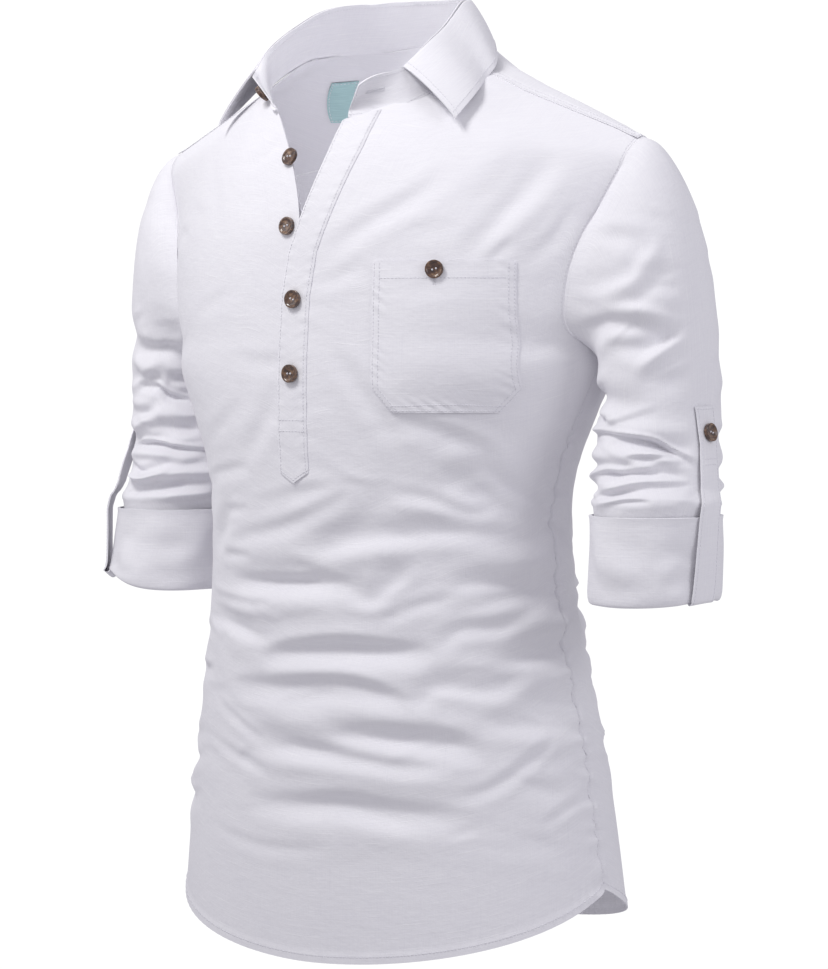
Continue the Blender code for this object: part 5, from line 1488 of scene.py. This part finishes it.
def under_strip(look):
    """The button strip, behind the right half of the front."""
    levels = np.linspace(STRIP_FOOT, STRIP_HEAD - 0.006, 100)
    shares = np.linspace(0.0, 0.85, 12)
    xs = placket_rows(levels, 2, shares, -1.0)
    zs = np.repeat(levels[:, None], len(shares), axis=1)
    rise = np.clip(1.0 - (levels[-1] - levels) / STRIP_END, 0.0, 1.0)
    zs += STRIP_HEAD_SLOPE * rise[:, None] * shares
    points, _ = on_front(-1, xs, zs, np.full(xs.shape, -2.2 * LAP - CLOTH))
    piece = cloth_piece("placket_under_cloth", [points], CLOTH, look, body_axis)
    belongs(piece, "placket_under")


HOLE_LENGTH = 0.017
HOLE_STITCHES = 34          # in each of the two rows of a buttonhole
HOLE_EDGE = 0.0008          # from the slit to either row
HOLE_STITCH = 0.55          # length of a buttonhole stitch against an ordinary one
HOLE_LIFT = 0.0002          # these stitches stand this far out of the cloth
TAB_HOLE_LIFT = 0.0003      # and on the collar's tab this far


def buttonhole(side, x, z, lift):
    """An upright slit worked over with close stitches."""
    zs = z + np.linspace(-0.5, 0.5, HOLE_STITCHES) * HOLE_LENGTH
    for offset in (-HOLE_EDGE, HOLE_EDGE):
        xs = np.full(zs.shape, x + offset)
        points, out = on_front(side, xs[None], zs[None], np.full((1, len(xs)), lift))
        across = np.cross(np.gradient(points[0], axis=0), out[0])
        across /= np.linalg.norm(across, axis=1, keepdims=True)
        for middle, forward, up in zip(points[0], across, out[0]):
            STITCHES.append((middle + up * HOLE_LIFT, forward * HOLE_STITCH, up))


POCKET_BELLY = 0.0022       # the pocket stands this far off the chest in its middle
POCKET_PUCKER = 0.00055
POCKET_HEM = 0.0130         # width of the hem along its mouth
POCKET_HEM_RISE = 0.00015
POCKET_PUCKER_PITCH = 0.0088
POCKET_LIFT = 1.6 * LAP + CLOTH
POCKET_HOLE_DROP = 0.003    # middle of its buttonhole below the button
POCKET_HOLE_LIFT = 0.0012


def pocket(look):
    """The patch pocket, with clipped lower corners and puckers along its stitches."""
    x, top = POCKET_PLACE
    foot = top - POCKET_HEIGHT
    levels = np.linspace(top, foot, 58)
    clip = np.clip((foot + POCKET_CLIP - levels) / POCKET_CLIP, 0.0, 1.0) * POCKET_CLIP * 0.8
    shares = np.linspace(0.0, 1.0, 50)
    width = POCKET_WIDTH - 2.0 * clip[:, None]
    xs = x + clip[:, None] + shares[None, :] * width
    zs = np.repeat(levels[:, None], len(shares), axis=1)
    from_side = np.minimum(shares, 1.0 - shares)[None, :] * width
    from_top = (top - levels)[:, None] + 0.0 * xs
    from_foot = (levels - foot)[:, None] + 0.0 * xs
    from_edge = np.minimum(from_side, from_foot)
    belly = POCKET_BELLY * (1.0 - np.exp(-(from_edge / 0.022) ** 2))
    belly *= np.clip(from_top / 0.03, 0.15, 1.0)
    along = zs * 0.9 + xs * 0.7
    ripple = np.sin(along / POCKET_PUCKER_PITCH * 2.0 * math.pi + 2.6 * np.sin(along / 0.0093))
    ripple *= 0.55 + 0.45 * np.sin(along / 0.0071 + 1.0)
    pucker = POCKET_PUCKER * ripple * np.exp(-((from_edge - 0.0055) / 0.0050) ** 2)
    hem = POCKET_HEM_RISE * step_down(from_top, POCKET_HEM, 0.0012)
    press = PRESSED * np.exp(-(from_side / 0.0022) ** 2)
    points, _ = on_front(1, xs, zs, POCKET_LIFT + belly + pucker + hem - press)
    for side in ("first", "last", "top"):
        for inset in POCKET_STITCHES:
            stitch_line(*edge_line(points, side, inset, OUT_FRONT))
    path, facing = edge_line(points, "bottom", POCKET_HEM_STITCH, OUT_FRONT)
    stitch_line(path[3:-3], facing[3:-3])
    x, z = POCKET_BUTTON[:2]
    buttonhole(1, x, z - POCKET_HOLE_DROP, POCKET_LIFT + POCKET_HOLE_LIFT)
    piece = cloth_piece("pocket_cloth", [points], CLOTH, look, body_axis)
    belongs(piece, "pocket")


STAND_FRONT = 110           # from this column on lies the left front end of the stand


def collar_stand(look):
    """The stand, stitched round its left front end and along its inside, with a buttonhole."""
    places = np.linspace(0, len(STAND_STATIONS) - 1, 150)
    points = stand_surface(places, np.concatenate([[-STAND_LAP, -0.4 * STAND_LAP],
                                                   np.linspace(0.0, 1.07, 15)]))
    for edge in ("bottom", "top", "last"):
        stitch_line(*edge_line(points[:, STAND_FRONT:], edge, EDGE_STITCH, (0.3, -0.9, 0.0)))
    path, _ = edge_line(points[:, :STAND_FRONT], "top", STAND_STITCH, OUT_BACK)
    stitch_line(path - (path - np.array([0.0, -0.01, 0.0])) * 0.018,
                -(path - np.array([0.0, -0.01, 0.02])))
    facing = np.array([0.3, -0.95, 0.0])
    for share in TAB_HOLE_SHARES:
        for middle in stand_surface(np.linspace(*TAB_HOLE, HOLE_STITCHES), [share])[0]:
            STITCHES.append((middle + facing * TAB_HOLE_LIFT, UP * HOLE_STITCH, facing))
    piece = cloth_piece("collar_stand_cloth", [points], COLLAR_WALL, look, neck_axis)
    belongs(piece, "collar_stand")


def collar_leaf(look):
    """The leaf, with close rows where it rolls over the stand."""
    places = np.linspace(0, len(COLLAR_STATIONS) - 1, 130)
    shares = np.concatenate([[0.0, 0.012, 0.03, 0.055, 0.09, 0.135, 0.19],
                             np.linspace(0.25, 1.0, 19)])
    points = leaf_surface(places, shares)
    for edge in ("first", "last", "top"):
        stitch_line(*edge_line(points, edge, LEAF_STITCH, OUT_UP))
    piece = cloth_piece("collar_leaf_cloth", [points], COLLAR_WALL, look, leaf_inside)
    belongs(piece, "collar_leaf")


def label_patch(across, down):
    """Points of the yoke under the label, between its four corners."""
    top_near, top_far, foot_near, foot_far = np.array(LABEL_CORNERS)
    rows = []
    for v in np.linspace(0.0, 1.0, down):
        near = top_near + (foot_near - top_near) * v
        far = top_far + (foot_far - top_far) * v
        row = [near + (far - near) * u for u in np.linspace(0.0, 1.0, across)]
        rows.append([yoke_surface(-1, [place], [share])[0, 0] for place, share in row])
    return np.array(rows)


LABEL_FACE = (-0.5, 0.6, 0.6)       # the way the yoke faces over the label, from outside


def neck_label(look):
    """The plain woven label on the inside of the yoke, sewn down all round."""
    on_yoke = label_patch(18, 28)
    normal = normals(on_yoke, np.array(LABEL_FACE))
    points = on_yoke - normal * (CLOTH + 1.6 * LAP)
    for edge in ("first", "last", "bottom", "top"):
        path, out = edge_line(points, edge, LABEL_STITCH, LABEL_FACE)
        stitch_line(path - out * LABEL_WALL, -out)
    piece = cloth_piece("label_cloth", [points], LABEL_WALL, look, yoke_inside)
    belongs(piece, "label")


def seat(patch, outward):
    """Middle of a 3 by 3 patch of points and its unit normal on the outward side."""
    normal = np.cross(patch[1, 2] - patch[1, 0], patch[2, 1] - patch[0, 1])
    normal /= np.linalg.norm(normal)
    if np.dot(normal, np.array(outward)) < 0:
        normal = -normal
    return patch[1, 1], normal


BUTTON_RIM = 0.17           # width of the flat rim, as a share of the radius
BUTTON_DISH = ((0.08, 0.17), (0.12, 0.10), (0.22, 0.05))   # ring widths and drops, rim to middle
BUTTON_BACK = (0.22, 0.12)  # the back's inset and rise
BUTTON_SOFT = 0.00030       # radius of its rounded edges
HOLE_PLACES = (-0.0015, 0.0015)
HOLE_RADIUS = 0.00085
DRILL_LENGTH = 0.012
BEAD_RADIUS = 0.00078
BEAD_SHAPE = (0.95, 1.05, 1.5)
BEAD_LEVEL = 0.66           # as a share of the button's height


def turned_button():
    """A two-hole button, modelled from a disc: rim raised, face dished, edges rounded."""
    bpy.ops.object.select_all(action="DESELECT")
    bpy.ops.mesh.primitive_cylinder_add(vertices=56, radius=BUTTON_RADIUS, depth=BUTTON_HEIGHT,
                                        location=(0.0, 0.0, BUTTON_HEIGHT / 2.0))
    button = bpy.context.object
    bpy.ops.object.transform_apply(location=True, rotation=True, scale=True)
    bpy.ops.object.mode_set(mode="EDIT")
    pick_faces(button, lambda face: face.normal.z > 0.9)
    bpy.ops.mesh.inset(thickness=BUTTON_RADIUS * BUTTON_RIM, depth=0.0)
    for inset, drop in BUTTON_DISH:
        bpy.ops.mesh.inset(thickness=BUTTON_RADIUS * inset, depth=-BUTTON_HEIGHT * drop)
    pick_faces(button, lambda face: face.normal.z < -0.9)
    inset, rise = BUTTON_BACK
    bpy.ops.mesh.inset(thickness=BUTTON_RADIUS * inset, depth=BUTTON_HEIGHT * rise)
    bpy.ops.object.mode_set(mode="OBJECT")
    for offset in HOLE_PLACES:
        bpy.ops.object.select_all(action="DESELECT")
        bpy.ops.mesh.primitive_cylinder_add(vertices=20, radius=HOLE_RADIUS, depth=DRILL_LENGTH,
                                            location=(offset, 0.0, 0.0))
        drill = bpy.context.object
        cut = button.modifiers.new("hole", "BOOLEAN")
        cut.object = drill
        cut.solver = "EXACT"
        choose(button)
        bpy.ops.object.modifier_apply(modifier=cut.name)
        bpy.data.objects.remove(drill, do_unlink=True)
    soft = button.modifiers.new("soft edges", "BEVEL")
    soft.width = BUTTON_SOFT
    soft.segments = 3
    soft.limit_method = "ANGLE"
    soft.angle_limit = math.radians(28.0)
    choose(button)
    bpy.ops.object.modifier_apply(modifier=soft.name)
    bpy.ops.object.shade_smooth_by_angle(angle=math.radians(40.0))
    return button


def turned_thread():
    """White sewing thread that fills the two holes and stands a little proud of the dish."""
    parts = []
    for offset in HOLE_PLACES:
        bpy.ops.object.select_all(action="DESELECT")
        bpy.ops.mesh.primitive_uv_sphere_add(segments=14, ring_count=8, radius=BEAD_RADIUS,
                                             location=(offset, 0.0, BUTTON_HEIGHT * BEAD_LEVEL))
        bead = bpy.context.object
        bpy.ops.object.transform_apply(location=True, rotation=True, scale=True)
        bpy.ops.object.mode_set(mode="EDIT")
        bpy.ops.mesh.select_all(action="SELECT")
        bpy.ops.transform.resize(value=BEAD_SHAPE)
        bpy.ops.object.mode_set(mode="OBJECT")
        parts.append(bead)
    bpy.ops.object.select_all(action="DESELECT")
    for part in parts:
        part.select_set(True)
    bpy.context.view_layer.objects.active = parts[0]
    bpy.ops.object.join()
    thread = bpy.context.object
    bpy.ops.object.shade_smooth()
    return thread


def pick_faces(piece, wanted):
    """Select the faces of the piece in edit mode that wanted says yes to."""
    bm = bmesh.from_edit_mesh(piece.data)
    for face in bm.faces:
        face.select_set(bool(wanted(face)))
    bmesh.update_edit_mesh(piece.data)


def button_spots():
    """Name, seat and outward normal of every button."""
    spots = []
    rows = [("button_front_" + str(number), *row) for number, row in enumerate(FRONT_BUTTONS, 1)]
    rows.append(("button_pocket", *POCKET_BUTTON))
    for name, x, z, side, lift in rows:
        reach = np.array([-SEAT_REACH, 0.0, SEAT_REACH])
        xs = np.tile(x + reach, (3, 1))
        zs = np.tile((z + reach)[:, None], (1, 3))
        patch, _ = on_front(side, xs, zs, np.zeros((3, 3)))
        middle, normal = seat(patch, OUT_FRONT)
        spots.append((name, middle + normal * lift, normal))
    for side, word in ((1, "left"), (-1, "right")):
        middle, normal = strap_place(side)
        spots.append(("button_strap_" + word, middle + normal * BUTTON_LIFT, normal))
    patch = stand_surface(COLLAR_BUTTON_PLACE + np.array([-0.3, 0.0, 0.3]), (0.3, 0.5, 0.7))
    middle, normal = seat(patch, (-0.8, -0.6, 0.0))
    spots.append(("button_collar", middle + normal * COLLAR_BUTTON_LIFT, normal))
    return spots


def buttons(horn, thread):
    """A copy of the button and of its thread at every seat, each turned a little."""
    disc, beads = turned_button(), turned_thread()
    for number, (name, place, normal) in enumerate(button_spots()):
        spin = Matrix.Rotation(BUTTON_SPIN * math.sin(2.1 * number), 4, "Z")
        turn = Vector(normal).to_track_quat("Z", "Y").to_matrix().to_4x4()
        where = Matrix.Translation(Vector(place)) @ turn @ spin
        for master, look, ending, slot in ((disc, horn, "", "button"),
                                           (beads, thread, "_thread", "cloth")):
            mesh = master.data.copy()
            mesh.transform(where)
            mesh.materials.clear()
            mesh.materials.append(look)
            piece = bpy.data.objects.new(name + "_turned" + ending, mesh)
            bpy.context.scene.collection.objects.link(piece)
            belongs(piece, None if ending else name)
    for master in (disc, beads):
        bpy.data.objects.remove(master, do_unlink=True)


# ---------------------------------------------------------------- light and camera
CAMERA_AZIMUTH = math.radians(36.0)
CAMERA_RISE = math.radians(2.5)
CAMERA_DISTANCE = 2.6
SENSOR = 36.0               # width of the camera's sensor, in mm
VIEW_HEIGHT = 969.0         # height of the view in pixels, its longer side
VIEW_SCALE = 1240.0         # pixels a metre at the target
CAMERA_TARGET = Vector((0.0089, 0.0065, -0.349))
CHEST = Vector((0.0, -0.05, -0.14))
NECK = Vector((0.0, 0.06, -0.07))
WARM_WHITE = (1.0, 0.995, 0.985)
COOL_WHITE = (0.98, 0.98, 1.0)
# Colour and strength of the world: as light on the tunic, and as the ground that is seen.
AIR = ((0.90, 0.885, 0.95, 1.0), 0.575)
GROUND = ((1.0, 1.0, 1.0, 1.0), 1.05)


def camera():
    """Make the camera; returns the way from the target to it."""
    way = Vector((math.sin(CAMERA_AZIMUTH) * math.cos(CAMERA_RISE),
                  -math.cos(CAMERA_AZIMUTH) * math.cos(CAMERA_RISE), math.sin(CAMERA_RISE)))
    lens = bpy.data.cameras.new("camera")
    lens.lens = SENSOR * VIEW_SCALE * CAMERA_DISTANCE / VIEW_HEIGHT
    lens.sensor_width = SENSOR
    lens.sensor_fit = "AUTO"
    view = bpy.data.objects.new("camera", lens)
    view.location = CAMERA_TARGET + way * CAMERA_DISTANCE
    view.rotation_euler = way.to_track_quat("Z", "Y").to_euler()
    bpy.context.scene.collection.objects.link(view)
    bpy.context.scene.camera = view
    return way


def lamp(name, way, distance, size, power, colour, towards=CAMERA_TARGET):
    """A round soft lamp this way and this far from what it faces."""
    light = bpy.data.lights.new(name, "AREA")
    light.shape = "DISK"
    light.size = size
    light.energy = power
    light.color = colour
    item = bpy.data.objects.new(name, light)
    item.location = towards + way.normalized() * distance
    item.rotation_euler = way.to_track_quat("Z", "Y").to_euler()
    bpy.context.scene.collection.objects.link(item)


def studio(way):
    """Soft lamps round the tunic, one inside the collar, and pale air with a white ground."""
    right = Vector((math.cos(CAMERA_AZIMUTH), math.sin(CAMERA_AZIMUTH), 0.0))
    up = Vector((0.0, 0.0, 1.0))
    flat = Vector((way.x, way.y, 0.0)).normalized()
    lamp("key", -0.80 * right + 0.80 * flat + 1.25 * up, 1.35, 0.45, 10.9, WARM_WHITE, CHEST)
    lamp("fill", 1.0 * right + 0.8 * flat + 0.45 * up, 2.6, 1.2, 13.0, (0.95, 0.95, 1.0))
    lamp("rear", -0.2 * right - 1.2 * flat + 1.0 * up, 2.4, 1.0, 8.0, COOL_WHITE)
    lamp("side", -1.4 * right + 0.2 * flat + 0.5 * up, 1.6, 0.8, 2.3, COOL_WHITE, CHEST)
    lamp("inside", Vector((0.0, -0.6, -0.5)), 0.16, 0.10, 0.17, (0.97, 0.96, 1.0), NECK)
    world = bpy.data.worlds.new("studio")
    bpy.context.scene.world = world
    world.use_nodes = True
    tree = world.node_tree
    tree.nodes.clear()
    lights = []
    for colour, strength in (AIR, GROUND):
        light = tree.nodes.new("ShaderNodeBackground")
        light.inputs["Color"].default_value = colour
        light.inputs["Strength"].default_value = strength
        lights.append(light)
    ray = tree.nodes.new("ShaderNodeLightPath")
    either = tree.nodes.new("ShaderNodeMixShader")
    end = tree.nodes.new("ShaderNodeOutputWorld")
    tree.links.new(ray.outputs["Is Camera Ray"], either.inputs["Fac"])
    for place, light in enumerate(lights, 1):
        tree.links.new(light.outputs["Background"], either.inputs[place])
    tree.links.new(either.outputs["Shader"], end.inputs["Surface"])
    bpy.context.scene.view_settings.view_transform = "Standard"


studio(camera())
cloth = slub_cloth("white slub cotton linen", LINEN_LIGHT, LINEN_SHADE)
threads = thread_look()
front_panel(cloth)
back_panel(cloth)
yoke(cloth)
for side, word in ((1, "left"), (-1, "right")):
    sleeve(side, word, cloth)
    cuff(side, word, cloth)
    strap(side, word, cloth)
under_strip(cloth)
upper_strip(cloth)
pocket(cloth)
collar_stand(cloth)
collar_leaf(cloth)
neck_label(label_look())
buttons(horn_look(), threads)
stitch_pieces(threads)
